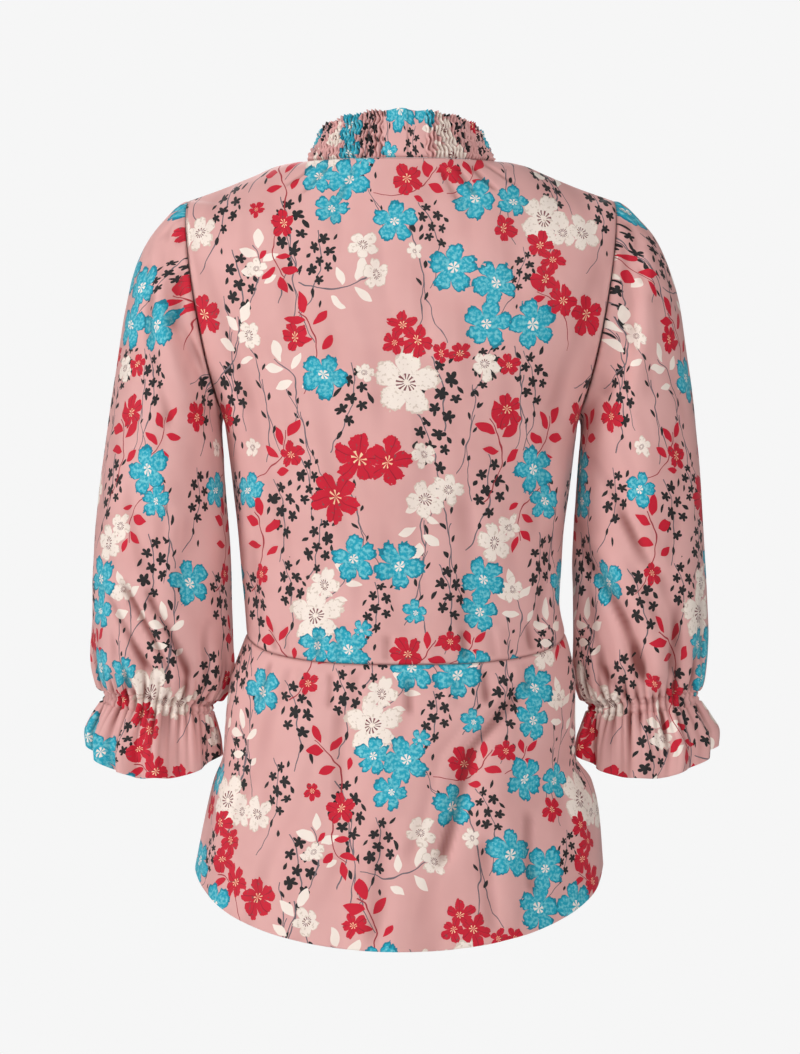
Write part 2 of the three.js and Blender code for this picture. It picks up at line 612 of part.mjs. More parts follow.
const backBodiceSurface = bodiceSurface(BACK_BODICE);
const frontBodiceSurface = bodiceSurface(FRONT_BODICE);
const bodiceRows = SHOULDER_ROWS + ARMHOLE_ROWS + SIDE_ROWS;

const blouse = new THREE.Group();
blouse.name = "floral_blouse";
blouse.add(panelMesh("back_bodice", backBodiceSurface, bodiceRows, beyondBodiceEdge));
blouse.add(panelMesh("front_bodice", frontBodiceSurface, bodiceRows, beyondBodiceEdge));
blouse.add(panelMesh("back_peplum", peplumSurface(BACK_PEPLUM), PEPLUM_ROWS, beyondSideSeam));
blouse.add(panelMesh("front_peplum", peplumSurface(FRONT_PEPLUM), PEPLUM_ROWS, beyondSideSeam));
blouse.add(collarMesh());
blouse.add(sleeveMesh("left_sleeve", 1));
blouse.add(sleeveMesh("right_sleeve", -1));

export default blouse;
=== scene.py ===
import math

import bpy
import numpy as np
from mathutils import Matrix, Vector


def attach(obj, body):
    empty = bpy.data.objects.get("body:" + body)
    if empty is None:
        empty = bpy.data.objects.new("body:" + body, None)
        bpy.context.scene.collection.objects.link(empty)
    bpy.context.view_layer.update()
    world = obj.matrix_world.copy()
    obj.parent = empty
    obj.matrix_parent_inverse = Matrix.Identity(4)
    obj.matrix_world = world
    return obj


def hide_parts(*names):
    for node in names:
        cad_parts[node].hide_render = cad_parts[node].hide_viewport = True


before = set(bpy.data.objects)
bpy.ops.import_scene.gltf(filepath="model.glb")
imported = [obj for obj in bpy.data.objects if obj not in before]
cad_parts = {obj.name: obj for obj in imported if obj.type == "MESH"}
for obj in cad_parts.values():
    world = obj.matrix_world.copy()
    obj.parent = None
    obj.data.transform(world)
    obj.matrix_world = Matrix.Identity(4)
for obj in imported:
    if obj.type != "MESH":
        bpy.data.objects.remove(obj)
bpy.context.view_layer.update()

# %% [markdown]
# # A floral blouse, seen from behind
# The real blouse is light printed crepe: two bodice panels, two peplum panels, two full sleeves and a
# smocked stand collar. Every piece is a single layer of cloth, so every piece is built here in the same way:
# a grid of points on the shape that the pattern piece takes when worn, soft creases pushed into that grid,
# and a thin thickness at the end. Sizes are in millimetres until the points go to Blender, which uses metres.
# +Z is up, the back of the blouse faces +Y and its left sleeve is on +X.

MM = 0.001
CLOTH_THICKNESS = 0.6


def table(columns, *rows):
    """A table with named columns, each of them an array."""
    return dict(zip(columns.split(), np.array(rows, float).T))


def rows_of(rows):
    """The rows of a table, one after another."""
    return np.stack(list(rows.values()), 1).tolist()


# %% [markdown]
# ## Camera and light
# The blouse was photographed from straight behind with a long lens, at the height of its middle. A camera
# four metres away gives the same slight perspective. The lens follows from the height of cloth that the
# frame takes in. The light is soft. It comes from beside the camera and from the side of the left sleeve, so
# that folds shade but never go black. The white surround is only there to be seen: it sends no light, so
# shadows keep their depth.

# %% Camera
MM_PER_PIXEL = 0.86
IMAGE_WIDTH, IMAGE_HEIGHT = 800, 1054
MIDDLE_PIXEL, ORIGIN_PIXEL = 401, 162
CAMERA_DISTANCE = 4000
SENSOR = 36

camera_data = bpy.data.cameras.new("camera")
camera_data.sensor_width = SENSOR
camera_data.lens = SENSOR * CAMERA_DISTANCE / (IMAGE_HEIGHT * MM_PER_PIXEL)
camera_data.clip_end = 100
camera = bpy.data.objects.new("camera", camera_data)
bpy.context.collection.objects.link(camera)
camera.location = (
    (MIDDLE_PIXEL - IMAGE_WIDTH / 2) * MM_PER_PIXEL * MM,
    CAMERA_DISTANCE * MM,
    (ORIGIN_PIXEL - IMAGE_HEIGHT / 2) * MM_PER_PIXEL * MM,
)
camera.rotation_euler = (math.radians(90), 0, math.radians(180))
bpy.context.scene.camera = camera
print(f"lens {camera_data.lens:.0f} mm, camera at {tuple(round(c, 3) for c in camera.location)} m")

# %% Colour from sRGB hex
def linear(code):
    """An sRGB hex colour as the linear red, green, blue and alpha that Blender's sockets take."""
    parts = [int(code[i:i + 2], 16) / 255 for i in (1, 3, 5)]
    return [c / 12.92 if c <= 0.04045 else ((c + 0.055) / 1.055) ** 2.4 for c in parts] + [1.0]


# %% [markdown]
# ## One function for every shader node
# A material is a graph of nodes. This function adds one node with its settings and links and gives back
# one of its outputs, so that a graph reads like ordinary sums.

# %% Node function
tree = None


def add(kind, inputs=None, out=0, **settings):
    """Adds a node to the tree in hand. An input is a number, a colour, a vector or another node's output."""
    made = tree.nodes.new(kind)
    for name, value in settings.items():
        setattr(made, name, value)
    for key, value in (inputs or {}).items():
        if isinstance(value, bpy.types.NodeSocket):
            tree.links.new(value, made.inputs[key])
        else:
            made.inputs[key].default_value = value
    return made.outputs[out] if out is not None else made


def calculate(operation, *values):
    """Adds a node that calculates with one, two or three numbers."""
    return add("ShaderNodeMath", dict(enumerate(values)), operation=operation)


# %% Studio: pale floor, white surround and soft boxes
PAPER, FLOOR_PAPER = "#F6F6F6", "#F8F8F8"
FILL_LIGHT, FLOOR_GLOW, SURROUND_GLOW = 0.11, 0.12, 1.0
BLACK_BASE = (0, 0, 0, 1)
world = bpy.data.worlds.new("dim_fill_light")
bpy.context.scene.world = world
world.use_nodes = True
world.node_tree.nodes["Background"].inputs["Color"].default_value = linear(PAPER)
world.node_tree.nodes["Background"].inputs["Strength"].default_value = FILL_LIGHT


def studio_surface(name, corners, faces, colour, glow):
    """A plain surface of the studio, which is not part of the blouse."""
    mesh = bpy.data.meshes.new(name)
    mesh.from_pydata(corners, [], faces)
    surface = bpy.data.objects.new(name, mesh)
    bpy.context.collection.objects.link(surface)
    material = bpy.data.materials.new(name + "_matt_paper")
    material.use_nodes = True
    shader = material.node_tree.nodes["Principled BSDF"]
    shader.inputs["Base Color"].default_value = colour
    shader.inputs["Roughness"].default_value = 1.0
    shader.inputs["Specular IOR Level"].default_value = 0.0
    shader.inputs["Emission Color"].default_value = linear(PAPER)
    shader.inputs["Emission Strength"].default_value = glow
    mesh.materials.append(material)
    return surface


FLOOR_DROP, FLOOR_RADIUS, ROOM_HALF, RIM_POINTS = 1.25, 3.6, 12, 96
rim = [2 * math.pi * k / RIM_POINTS for k in range(RIM_POINTS)]
floor_points = [(FLOOR_RADIUS * math.cos(a), FLOOR_RADIUS * math.sin(a), -FLOOR_DROP) for a in rim]
studio_surface("studio_floor", floor_points, [tuple(range(RIM_POINTS))], linear(FLOOR_PAPER), FLOOR_GLOW)
room_ends = (-ROOM_HALF, ROOM_HALF)
room_corners = [(x, y, z) for x in room_ends for y in room_ends for z in room_ends]
room_faces = [(0, 1, 3, 2), (4, 6, 7, 5), (0, 4, 5, 1), (2, 3, 7, 6), (0, 2, 6, 4), (1, 5, 7, 3)]
room = studio_surface("studio_surround", room_corners, room_faces, BLACK_BASE, SURROUND_GLOW)
room.visible_diffuse = room.visible_glossy = room.visible_transmission = room.visible_shadow = False

SOFT_BOXES = table(
    "x y z size watts",
    (3.5, 1.6, 1.0, 1.1, 84),
    (-0.9, 3.3, 1.3, 1.0, 69),
    (0.0, 0.5, 2.6, 2.0, 16),
    (0.5, -2.8, 1.2, 1.4, 52),
)
LIGHTS_AIM_AT = Vector((0, 0, -0.3))
for i in range(len(SOFT_BOXES["x"])):
    box_light = bpy.data.lights.new(f"soft_box_{i + 1}", "AREA")
    box_light.size = SOFT_BOXES["size"][i]
    box_light.energy = SOFT_BOXES["watts"][i]
    box_object = bpy.data.objects.new(box_light.name, box_light)
    bpy.context.collection.objects.link(box_object)
    place = Vector([SOFT_BOXES[axis][i] for axis in "xyz"])
    box_object.location = place
    aim = LIGHTS_AIM_AT - place
    box_object.rotation_euler = aim.to_track_quat("-Z", "Y").to_euler()
bpy.context.scene.view_settings.view_transform = "Standard"
print(len(SOFT_BOXES["x"]), "soft boxes over a floor", FLOOR_DROP, "m below the neck seam")

# %% [markdown]
# ## The shape of each pattern piece when worn
# A pattern piece is flat, but its worn shape is known from a few measured rows: where a row crosses the
# middle, where it ends at a seam, and how it turns there. Tables hold those rows, and a smooth curve that
# never overshoots reads between them. The solids of the part follow the same rows.

# %% Reading a table between its rows
def read(rows, column, at):
    """A column of a table at any place, through a smooth curve that never overshoots its rows."""
    keys, values = rows["row"], rows[column]
    at = np.clip(at, keys[0], keys[-1])
    i = np.clip(np.searchsorted(keys, at) - 1, 0, len(keys) - 2)
    slopes = np.diff(values) / np.diff(keys)
    product, total = slopes[:-1] * slopes[1:], slopes[:-1] + slopes[1:]
    inner = np.where(product > 0, 2 * product / np.where(product > 0, total, 1), 0)
    tangents = np.concatenate([slopes[:1], inner, slopes[-1:]])
    span = keys[i + 1] - keys[i]
    t = (at - keys[i]) / span
    return (
        (1 + 2 * t) * (1 - t) ** 2 * values[i]
        + t * t * (3 - 2 * t) * values[i + 1]
        + t * (1 - t) ** 2 * span * tangents[i]
        + t * t * (t - 1) * span * tangents[i + 1]
    )


def mix(start, end, share):
    return start + (end - start) * share


def smooth_step(start, end, value):
    t = np.clip((value - start) / (end - start), 0, 1)
    return t * t * (3 - 2 * t)


def bell(value):
    """1 at zero, falling off to almost nothing at two on either side."""
    return np.exp(-value ** 2)


def unit(vectors):
    return vectors / np.maximum(np.linalg.norm(vectors, axis=-1, keepdims=True), 1e-9)


# %% Seams of the body
SHOULDER_ROWS, ARMHOLE_ROWS, SIDE_ROWS, PEPLUM_ROWS = 4, 12, 8, 8
BODICE_ROWS = SHOULDER_ROWS + ARMHOLE_ROWS + SIDE_ROWS
SHOULDER_SEAM = table("row x z", (0, 80, 0), (1, 103, -2.5), (2, 127, -12), (3, 154, -23), (4, 182, -33))
SIDE_SEAM = table(
    "row left right y z",
    (0, 150, 150, 5, -218),
    (1.3, 147.2, 147.6, 4.5, -248),
    (2.6, 144, 144.3, 4, -278),
    (4.1, 140.3, 140, 3, -312),
    (5.4, 137.8, 138, 2, -343),
    (6.8, 134.6, 136, 1, -376),
    (8, 132.6, 141, 0, -404),
)
PEPLUM_SIDE = table(
    "row left right y z",
    (0, 132.6, 141, 0, -404),
    (0.6, 138, 145, 0, -418),
    (1.6, 147, 150, 0, -445),
    (3, 151, 149.5, 0, -480),
    (4.1, 153, 150, 0, -508),
    (5, 161, 164, 0, -530),
    (6.2, 168, 170.5, 0, -559),
    (8, 176.5, 174, 0, -602),
)
SLEEVE_HEAD = np.array([182.0, 0, -33])
ARMPIT = np.array([150.0, 5, -218])
ARMHOLE_DEPTH = 52
ARMHOLE_BACK_BULGE, ARMHOLE_FRONT_BULGE = 9, 2


def armhole_point(angle):
    """The armhole loop of the left side: 0 at the head of the sleeve, half a turn at the armpit."""
    lean = (SLEEVE_HEAD - ARMPIT) / 2
    outward = unit(np.array([lean[2], 0, -lean[0]]))
    side = np.sin(angle)
    bulge = np.where(side > 0, ARMHOLE_BACK_BULGE, ARMHOLE_FRONT_BULGE)
    point = (SLEEVE_HEAD + ARMPIT) / 2 + np.cos(angle)[..., None] * lean
    point = point + (np.abs(side) * bulge)[..., None] * outward
    point[..., 1] += side * ARMHOLE_DEPTH
    return point


def side_edge(rows, row, side):
    x = np.where(side > 0, read(rows, "left", row), read(rows, "right", row))
    return np.stack([x, read(rows, "y", row), read(rows, "z", row)], -1)


def bodice_edge(row, side, facing):
    """The edge of a bodice panel: the shoulder seam, then the armhole, then the side seam."""
    shoulder = np.stack([read(SHOULDER_SEAM, "x", row), 0 * row, read(SHOULDER_SEAM, "z", row)], -1)
    armhole = armhole_point(facing * np.pi * np.clip((row - SHOULDER_ROWS) / ARMHOLE_ROWS, 0, 1))
    below = side_edge(SIDE_SEAM, row - SHOULDER_ROWS - ARMHOLE_ROWS, side)
    on_armhole = (row <= SHOULDER_ROWS + ARMHOLE_ROWS)[..., None]
    return np.where((row <= SHOULDER_ROWS)[..., None], shoulder, np.where(on_armhole, armhole, below))


# %% Rows of the four panels
BACK_BODICE = table(
    "row y z turn full rise",
    (0, 55, 0, 90, 0.55, 1),
    (2, 66, -19, 74, 0.57, 1),
    (4, 78, -42, 51, 0.62, 1),
    (7, 93, -84, 46, 0.66, 1),
    (10, 102, -132, 47, 0.67, 1.2),
    (13, 105, -188, 60, 0.65, 2),
    (16, 101, -246, 88, 0.6, 3),
    (20, 88, -330, 90, 0.58, 2),
    (24, 80, -430, 90, 0.56, 1.3),
)
FRONT_BODICE = table(
    "row y z turn full rise",
    (0, -62, -62, 90, 0.55, 1),
    (2, -74, -78, 74, 0.57, 1),
    (4, -83, -96, 54, 0.66, 1),
    (7, -98, -130, 49, 0.71, 1),
    (10, -109, -170, 51, 0.73, 1.2),
    (13, -116, -212, 62, 0.71, 2),
    (16, -117, -258, 88, 0.65, 3),
    (20, -108, -334, 90, 0.58, 2),
    (24, -95, -425, 90, 0.56, 1.3),
)
BACK_PEPLUM = table(
    "row y z turn full rise",
    (0, 80, -430, 90, 0.56, 1.3),
    (1, 85, -456, 90, 0.57, 1.2),
    (3, 96, -518, 90, 0.58, 1.1),
    (5.5, 107, -593, 90, 0.58, 1),
    (8, 115, -668, 90, 0.57, 1),
)
FRONT_PEPLUM = table(
    "row y z turn full rise",
    (0, -95, -425, 90, 0.56, 1.3),
    (1, -99, -452, 90, 0.57, 1.2),
    (3, -106, -512, 90, 0.58, 1.1),
    (5.5, -112, -587, 90, 0.58, 1),
    (8, -117, -661, 90, 0.57, 1),
)


def panel_point(rows, edge_of, row, across):
    """A point of a panel. Across runs from -1 at its right edge to 1 at its left edge."""
    side = np.where(across < 0, -1.0, 1.0)
    t = np.abs(across)
    edge = edge_of(row, side)
    middle_y, middle_z, full = (read(rows, name, row) for name in ("y", "z", "full"))
    depth = middle_y - edge[..., 1]
    corner = edge[..., 0] - np.abs(depth) / np.tan(np.radians(read(rows, "turn", row)))
    rest = 1 - t
    x = 3 * rest * rest * t * full * corner + 3 * rest * t * t * mix(edge[..., 0], corner, full)
    x = x + t ** 3 * edge[..., 0]
    y = rest ** 2 * (1 + 2 * t) * middle_y + 3 * rest * t * t * (edge[..., 1] + full * depth)
    y = y + t ** 3 * edge[..., 1]
    climb = np.maximum((middle_y - y) / depth, 0) ** read(rows, "rise", row)
    return np.stack([side * x, y, mix(middle_z, edge[..., 2], climb)], -1)


# %% [markdown]
# ## Creases
# Worn crepe falls in soft troughs and ridges that differ in length, depth and spacing. Each crease is a
# line of three points as it is seen from behind, with a half width and a depth. It is pushed into the cloth
# with a bell-shaped profile that fades at both ends, which is close to how a fold in light cloth rolls.

# %% Creases pushed into a grid of points
CREASE_COLUMNS = "x1 z1 x2 z2 x3 z3 width depth"


def crease_depth(creases, x, z):
    """How far each place is pushed out by a table of creases, in millimetres."""
    depth = np.zeros_like(x)
    for i in range(len(creases["width"])):
        line = sorted((creases[f"z{k}"][i], creases[f"x{k}"][i]) for k in (1, 2, 3))
        low, high = line[0][0], line[2][0]
        middle = np.interp(z, [p[0] for p in line], [p[1] for p in line])
        width = creases["width"][i]
        offset = (x - middle) / width
        along = smooth_step(low - width, low + width, z) * (1 - smooth_step(high - width, high + width, z))
        depth = depth + creases["depth"][i] * bell(offset) * along
    return depth


PEPLUM_FOLDS = table(
    CREASE_COLUMNS,
    (-112, -440, -60, -497, -34, -590, 17, -4.5),
    (-75, -470, -88, -560, -96, -660, 20, 4),
    (-112, -520, -112, -580, -118, -650, 13, -3.5),
    (50, -480, 54, -570, 56, -668, 18, -3.5),
    (92, -470, 100, -560, 106, -655, 20, 3.5),
    (6, -520, 4, -600, 8, -668, 22, 3),
    (128, -440, 134, -520, 142, -625, 12, -3),
)
LEFT_SLEEVE_FOLDS = table(
    CREASE_COLUMNS,
    (203, -62, 196, -120, 172, -190, 11, -3.5),
    (222, -150, 226, -230, 218, -310, 15, -2.5),
    (176, -452, 186, -410, 214, -360, 10, -3),
    (214, -452, 220, -415, 236, -370, 9, -2.5),
    (160, -260, 174, -320, 180, -390, 12, -2.5),
)
RIGHT_SLEEVE_FOLDS = table(
    CREASE_COLUMNS,
    (-203, -60, -196, -110, -178, -175, 11, -3),
    (-156, -337, -191, -397, -206, -446, 10, -3.5),
    (-152, -300, -169, -400, -186, -455, 9, -3),
    (-228, -160, -232, -250, -222, -340, 15, -2.5),
    (-238, -452, -232, -415, -214, -365, 9, -2.5),
)


def grid_normals(points, closed=False):
    """The direction square to a grid, which is down its rows crossed with across its columns."""
    down = np.gradient(points, axis=0)
    if closed:
        across = np.roll(points, -1, 1) - np.roll(points, 1, 1)
    else:
        across = np.gradient(points, axis=1)
    return unit(np.cross(down, across))


# %% [markdown]
# ## From a grid to a piece of cloth
# The grid becomes a mesh of quads with a UV map in millimetres of flat cloth, because the print was on the
# cloth before it was cut. The Solidify modifier gives the single layer its thickness. It works inwards, so
# the outside stays where the pattern put it.
#
# Light hardly reaches the bottom of a tight gather, where two layers of cloth all but touch. The grid can't
# close a gather that far, so each point also carries how deep it lies, and the cloth's colour is darkened
# there and along the seams: painted shade.

# %% How deep a place lies, as painted shade
FULL_SHADE_DEPTH = 2.4
SEAM_SHADE = 0.6
PANEL_WINDOW, SLEEVE_WINDOW, COLLAR_WINDOW = 5, 9, 6


def painted_crease_shade(push, window, seams=0.0):
    """How far a point lies below the cloth beside it, as painted shade: 0 on the flat and 1 at the bottom of
    a deep gather, and darker along seams. The window is how many points to each side are the cloth beside it."""
    beside = sum(np.roll(push, k, axis=1) for k in range(-window, window + 1)) / (2 * window + 1)
    return np.clip((beside - push) / FULL_SHADE_DEPTH - SEAM_SHADE * seams, 0, 1)


# %% Grid to cloth
def cloth_piece(name, points, cloth_u, cloth_v, sense, depth, closed=False):
    """Makes a piece of cloth of a grid of points in millimetres. Sense is -1 where the grid faces inwards."""
    rows, columns = points.shape[:2]
    last = columns if closed else columns - 1
    r, c = np.meshgrid(np.arange(rows - 1), np.arange(last), indexing="ij")
    following = (c + 1) % columns
    here, below_here = r * columns, (r + 1) * columns
    quads = np.stack([here + c, below_here + c, below_here + following, here + following], -1).reshape(-1, 4)
    if sense < 0:
        quads = quads[:, ::-1]
    mesh = bpy.data.meshes.new(name)
    mesh.from_pydata((points.reshape(-1, 3) * MM).tolist(), [], quads.tolist())
    flat = np.stack([cloth_u, cloth_v], -1).reshape(rows, -1, 2)
    if closed:
        corners_uv = [flat[r, c], flat[r + 1, c], flat[r + 1, c + 1], flat[r, c + 1]]
    else:
        corners_uv = [flat[r, c], flat[r + 1, c], flat[r + 1, following], flat[r, following]]
    if sense < 0:
        corners_uv.reverse()
    layer = mesh.uv_layers.new(name="cloth")
    layer.data.foreach_set("uv", np.stack(corners_uv, 2).reshape(-1).astype(np.float32))
    # Depth is painted shade: how much each point's colour is darkened at the bottom of gathers and along
    # seams.
    depth = np.pad(depth, ((0, rows - len(depth)), (0, 0)), mode="edge")
    painted_shade_layer = mesh.attributes.new("painted_crease_shade", "FLOAT", "POINT")
    painted_shade_layer.data.foreach_set("value", depth.reshape(-1).astype(np.float32))
    mesh.polygons.foreach_set("use_smooth", np.ones(len(mesh.polygons), bool))
    piece = bpy.data.objects.new(name, mesh)
    bpy.context.collection.objects.link(piece)
    mesh.materials.append(printed_crepe)
    mesh.materials.append(crepe_reverse)
    thickness = piece.modifiers.new("thickness", "SOLIDIFY")
    thickness.thickness = CLOTH_THICKNESS * MM
    thickness.offset = -1
    thickness.material_offset = 1
    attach(piece, "root")
    area = sum(p.area for p in mesh.polygons)
    print(f"{name}: {len(mesh.polygons)} quads, {area:.4f} m2 of cloth")
    return piece


def distance_along(points, axis):
    """Millimetres from the first row or column to each point, along the grid."""
    steps = np.linalg.norm(np.diff(points, axis=axis), axis=-1)
    pad = [(0, 0), (0, 0)]
    pad[axis] = (1, 0)
    return np.cumsum(np.pad(steps, pad), axis=axis)


# %% [markdown]
# ## The print
# The cloth is a printed repeat: blossoms in turquoise, cream and red, hanging sprays of small black
# florets, and thin branches with red or cream leaves, on dusty pink. A textile designer charts one repeat
# and the printer rolls it over the cloth, and the material does the same. The chart says what stands where
# in one tile. For each kind of motif the nodes find the nearest one, bring the point into its own
# coordinates, and draw its petals from the distance and the angle to its middle.

# %% Chart of one repeat, in millimetres of cloth
TILE = (340, 400)
TURQUOISE_BLOSSOMS = table(
    "x y size turn",
    (-65, -10, 27, 10), (-38, -14, 36, 40), (-51, -40, 27, 70), (3, -52, 32, 20), (70, -31, 33, 55),
    (104, -33, 25, 5), (52, -92, 37, 15), (87, -105, 34, 50), (81, -138, 36, 80), (120, -139, 37, 30),
    (-58, -183, 34, 62), (-132, -278, 28, 0), (126, -261, 36, 35), (137, -288, 26, 12), (-31, -336, 34, 25),
    (6, -341, 37, 60), (79, -354, 34, 45), (75, -381, 29, 8), (-168, -356, 34, 33), (19, -380, 18, 10),
    (-25, -396, 16, 50),
)
CREAM_BLOSSOMS = table(
    "x y size turn",
    (12, -189, 48, 12), (-24, -73, 22, 50), (-13, -97, 21, 20), (132, -49, 38, 66), (150, -60, 22, 10),
    (29, -286, 28, 42), (47, -278, 25, 5), (88, -322, 28, 30), (102, -309, 19, 60), (-65, -384, 42, 18),
    (-58, -357, 24, 70), (-172, -60, 28, 35), (-116, -91, 15, 20), (-123, -148, 19, 50), (-23, -179, 14, 0),
    (19, -78, 14, 35), (80, -174, 20, 60), (-127, -241, 16, 15), (27, -250, 19, 40), (106, -363, 18, 20),
)
RED_BLOSSOMS = table(
    "x y size turn",
    (9, -140, 21, 20), (21, -155, 23, 65), (2, -155, 18, 0), (12, -15, 24, 44), (-28, -252, 38, 12),
    (-48, -284, 37, 48), (-3, -254, 34, 75), (99, -212, 25, 30), (42, -163, 15, 0), (57, -163, 15, 50),
    (99, -172, 17, 22), (137, -84, 20, 60), (-87, -249, 20, 15), (-168, -130, 30, 25), (-160, -215, 24, 50),
    (-94, -53, 20, 20), (-119, -40, 13, 60), (-82, -150, 20, 35), (49, -7, 18, 10), (97, -57, 18, 50),
    (127, -70, 21, 5), (130, -100, 20, 40), (147, -118, 22, 70), (-121, -350, 16, 30),
)
BLACK_SPRAYS = table(
    "x y size turn",
    (-86, -62, 1, 8), (-60, -90, 0.9, -6), (-128, -110, 1, 4), (-34, -206, 1, -12), (44, -203, 1.1, 6),
    (79, -178, 0.8, -20), (123, -190, 0.9, 10), (83, -283, 1, -8), (36, -246, 1, 14), (-95, -302, 1, 5),
    (-64, -330, 0.9, -14), (-147, -205, 1, 3), (136, -350, 1, -5), (50, -372, 0.9, 8),
    (-13, -382, 0.8, -10), (-130, -378, 1, 12), (-158, -290, 0.9, -8), (36, -60, 0.8, 16),
    (-149, -44, 0.9, -4), (143, -24, 0.9, 10), (110, -98, 0.7, -14), (-69, -280, 0.8, 10),
    (-88, -367, 0.9, 6),
)
BLACK_TWIGS = table(
    "x y size turn",
    (25, -95, 1, 6), (-143, -165, 1, -5), (49, -325, 1, 4), (25, -348, 0.9, -10), (-18, -30, 0.6, 30),
    (-110, -205, 1, 8), (150, -310, 1, 5), (-28, -300, 0.9, 12), (66, -232, 0.9, -12), (-75, -230, 0.9, 14),
    (155, -392, 1, -6), (-82, -100, 1, 4), (100, -20, 0.8, -8), (112, -200, 0.9, 3),
)
RED_BRANCHES = table(
    "x y size turn",
    (-66, -146, 1, 20), (-96, -248, 0.9, -30), (94, -238, 1, 12), (26, -20, 0.8, -50), (-117, -318, 1, 5),
    (138, -236, 0.9, -24), (-100, -12, 0.9, 35), (140, -120, 0.8, 48), (-99, -86, 0.8, -160),
    (64, -16, 0.7, -40), (112, -304, 0.8, 168),
)
CREAM_BRANCHES = table(
    "x y size turn",
    (-112, -90, 0.9, 6), (-134, -155, 1, -18), (-86, -182, 0.9, 30), (-36, -108, 1, -70),
    (24, -306, 0.9, 175), (-44, -358, 0.8, -35), (112, -376, 0.9, 20), (150, -4, 0.9, 10),
)
charts = (
    TURQUOISE_BLOSSOMS, CREAM_BLOSSOMS, RED_BLOSSOMS, BLACK_SPRAYS, BLACK_TWIGS, RED_BRANCHES, CREAM_BRANCHES,
)
print("motifs in one repeat:", sum(len(chart["x"]) for chart in charts))

# %% [markdown]
# Crepe is woven from hard-twisted yarn that crinkles, which breaks up every reflection: the cloth is matt
# with a fine pebbly surface. The ink soaks in, so the print is as rough as the ground. The reverse shows the
# same print, paler.

# %% Inks
PINK = "#DBA7A3"
PINK_SHADE = "#D09893"
TURQUOISE, TURQUOISE_LIGHT, TURQUOISE_DEEP = "#149EB6", "#70C3CE", "#0E7C92"
CREAM, CREAM_SHADE = "#EFE1D6", "#D8C6B8"
RED, RED_DEEP, RED_BROWN = "#C6122E", "#9C0F28", "#7E4347"
BLACK, GREY_STEM, RED_STEM = "#1F1D1E", "#6B6168", "#A12B36"
STAMEN = "#F3CDA6"
# TROUGH_SHADE is painted shade, the colour multiplied in at the bottom of gathers and along seams.
TROUGH_SHADE = "#9C7672"
TURN_SCALE = 0.001
BLOSSOM_RADIUS = 0.57
PETAL_ROUNDING, PETAL_LENGTH, PETAL_FOOT = 0.42, 0.68, 0.36
NOTCH_SHARPNESS, NOTCH_DEPTH = 70.0, 0.07


# %% Finding the nearest motif of a chart
def nearest_motif(place, chart, reach):
    """The place seen from the nearest motif, in its own size, with the motif's turn kept in the third number.
    Reach is half the width and height, in millimetres, of what a motif of size 1 covers."""
    best = best_distance = None
    half = (TILE[0] / 2, TILE[1] / 2)
    for x, y, size, turn in rows_of(chart):
        highest, lowest = (x + half[0], y + half[1], 1), (x - half[0], y - half[1], -1)
        inside = add("ShaderNodeVectorMath", {0: place, 1: highest, 2: lowest}, operation="WRAP")
        wide, high = size * reach[0], size * reach[1]
        shrink, start = (1 / wide, 1 / high, 1), (-x / wide, -y / high, math.radians(turn) * TURN_SCALE)
        local = add("ShaderNodeVectorMath", {0: inside, 1: shrink, 2: start}, operation="MULTIPLY_ADD")
        distance = add("ShaderNodeVectorMath", {0: local}, out=1, operation="LENGTH")
        if best is None:
            best, best_distance = local, distance
            continue
        closer = calculate("LESS_THAN", distance, best_distance)
        best = add("ShaderNodeMix", {0: closer, 4: best, 5: local}, out=1, data_type="VECTOR")
        best_distance = calculate("MINIMUM", distance, best_distance)
    return best


def part_of(vector, x, y, z=0.0):
    """The share of a vector that lies along a direction."""
    return add("ShaderNodeVectorMath", {0: vector, 1: (x, y, z)}, out=1, operation="DOT_PRODUCT")


def upright(local, reach):
    """The two coordinates of a place in millimetres of a motif that stands upright."""
    turn = part_of(local, 0, 0, 1 / TURN_SCALE)
    cosine = calculate("COSINE", turn)
    sine = calculate("SINE", turn)
    x, y = part_of(local, reach[0], 0), part_of(local, 0, reach[1])
    x_part = calculate("MULTIPLY", x, cosine)
    own_x = calculate("MULTIPLY_ADD", y, sine, x_part)
    minus = calculate("MULTIPLY", sine, -1.0)
    y_part = calculate("MULTIPLY", y, cosine)
    own_y = calculate("MULTIPLY_ADD", x, minus, y_part)
    return own_x, own_y


def wave(angle, count, shift=0.0):
    """The cosine of an angle taken a number of times round."""
    turned = calculate("MULTIPLY_ADD", angle, float(count), shift)
    return calculate("COSINE", turned)


def blossom(place, chart, ragged):
    """Where a place is on the nearest blossom of five notched petals: its share of the way to the edge of
    the petal, its distance from the middle with a radius of 1, and its angle."""
    local = nearest_motif(place, chart, (BLOSSOM_RADIUS, BLOSSOM_RADIUS))
    flat = add("ShaderNodeVectorMath", {0: local, 1: (1, 1, 0)}, operation="MULTIPLY")
    distance = add("ShaderNodeVectorMath", {0: flat}, out=1, operation="LENGTH")
    turned = calculate("ARCTAN2", part_of(local, 0, 1), part_of(local, 1, 0))
    turn = part_of(local, 0, 0, 1 / TURN_SCALE)
    angle = calculate("SUBTRACT", turned, turn)
    petal = calculate("ABSOLUTE", wave(angle, 2.5))
    notches = calculate("POWER", petal, NOTCH_SHARPNESS)
    petal = calculate("POWER", petal, PETAL_ROUNDING)
    radius = calculate("MULTIPLY_ADD", petal, PETAL_LENGTH, PETAL_FOOT)
    radius = calculate("MULTIPLY_ADD", notches, -NOTCH_DEPTH, radius)
    radius = calculate("ADD", radius, ragged)
    share = calculate("DIVIDE", distance, radius)
    return share, distance, angle


def below(value, limit):
    """1 where the value is under the limit, else 0."""
    return calculate("LESS_THAN", value, limit)


def above(value, limit):
    """1 where the value is over the limit, else 0."""
    return calculate("GREATER_THAN", value, limit)


def both(first, second):
    """1 where both are 1."""
    return calculate("MULTIPLY", first, second)


def either(first, second):
    """1 where one of them is 1."""
    return second if first is None else calculate("MAXIMUM", first, second)


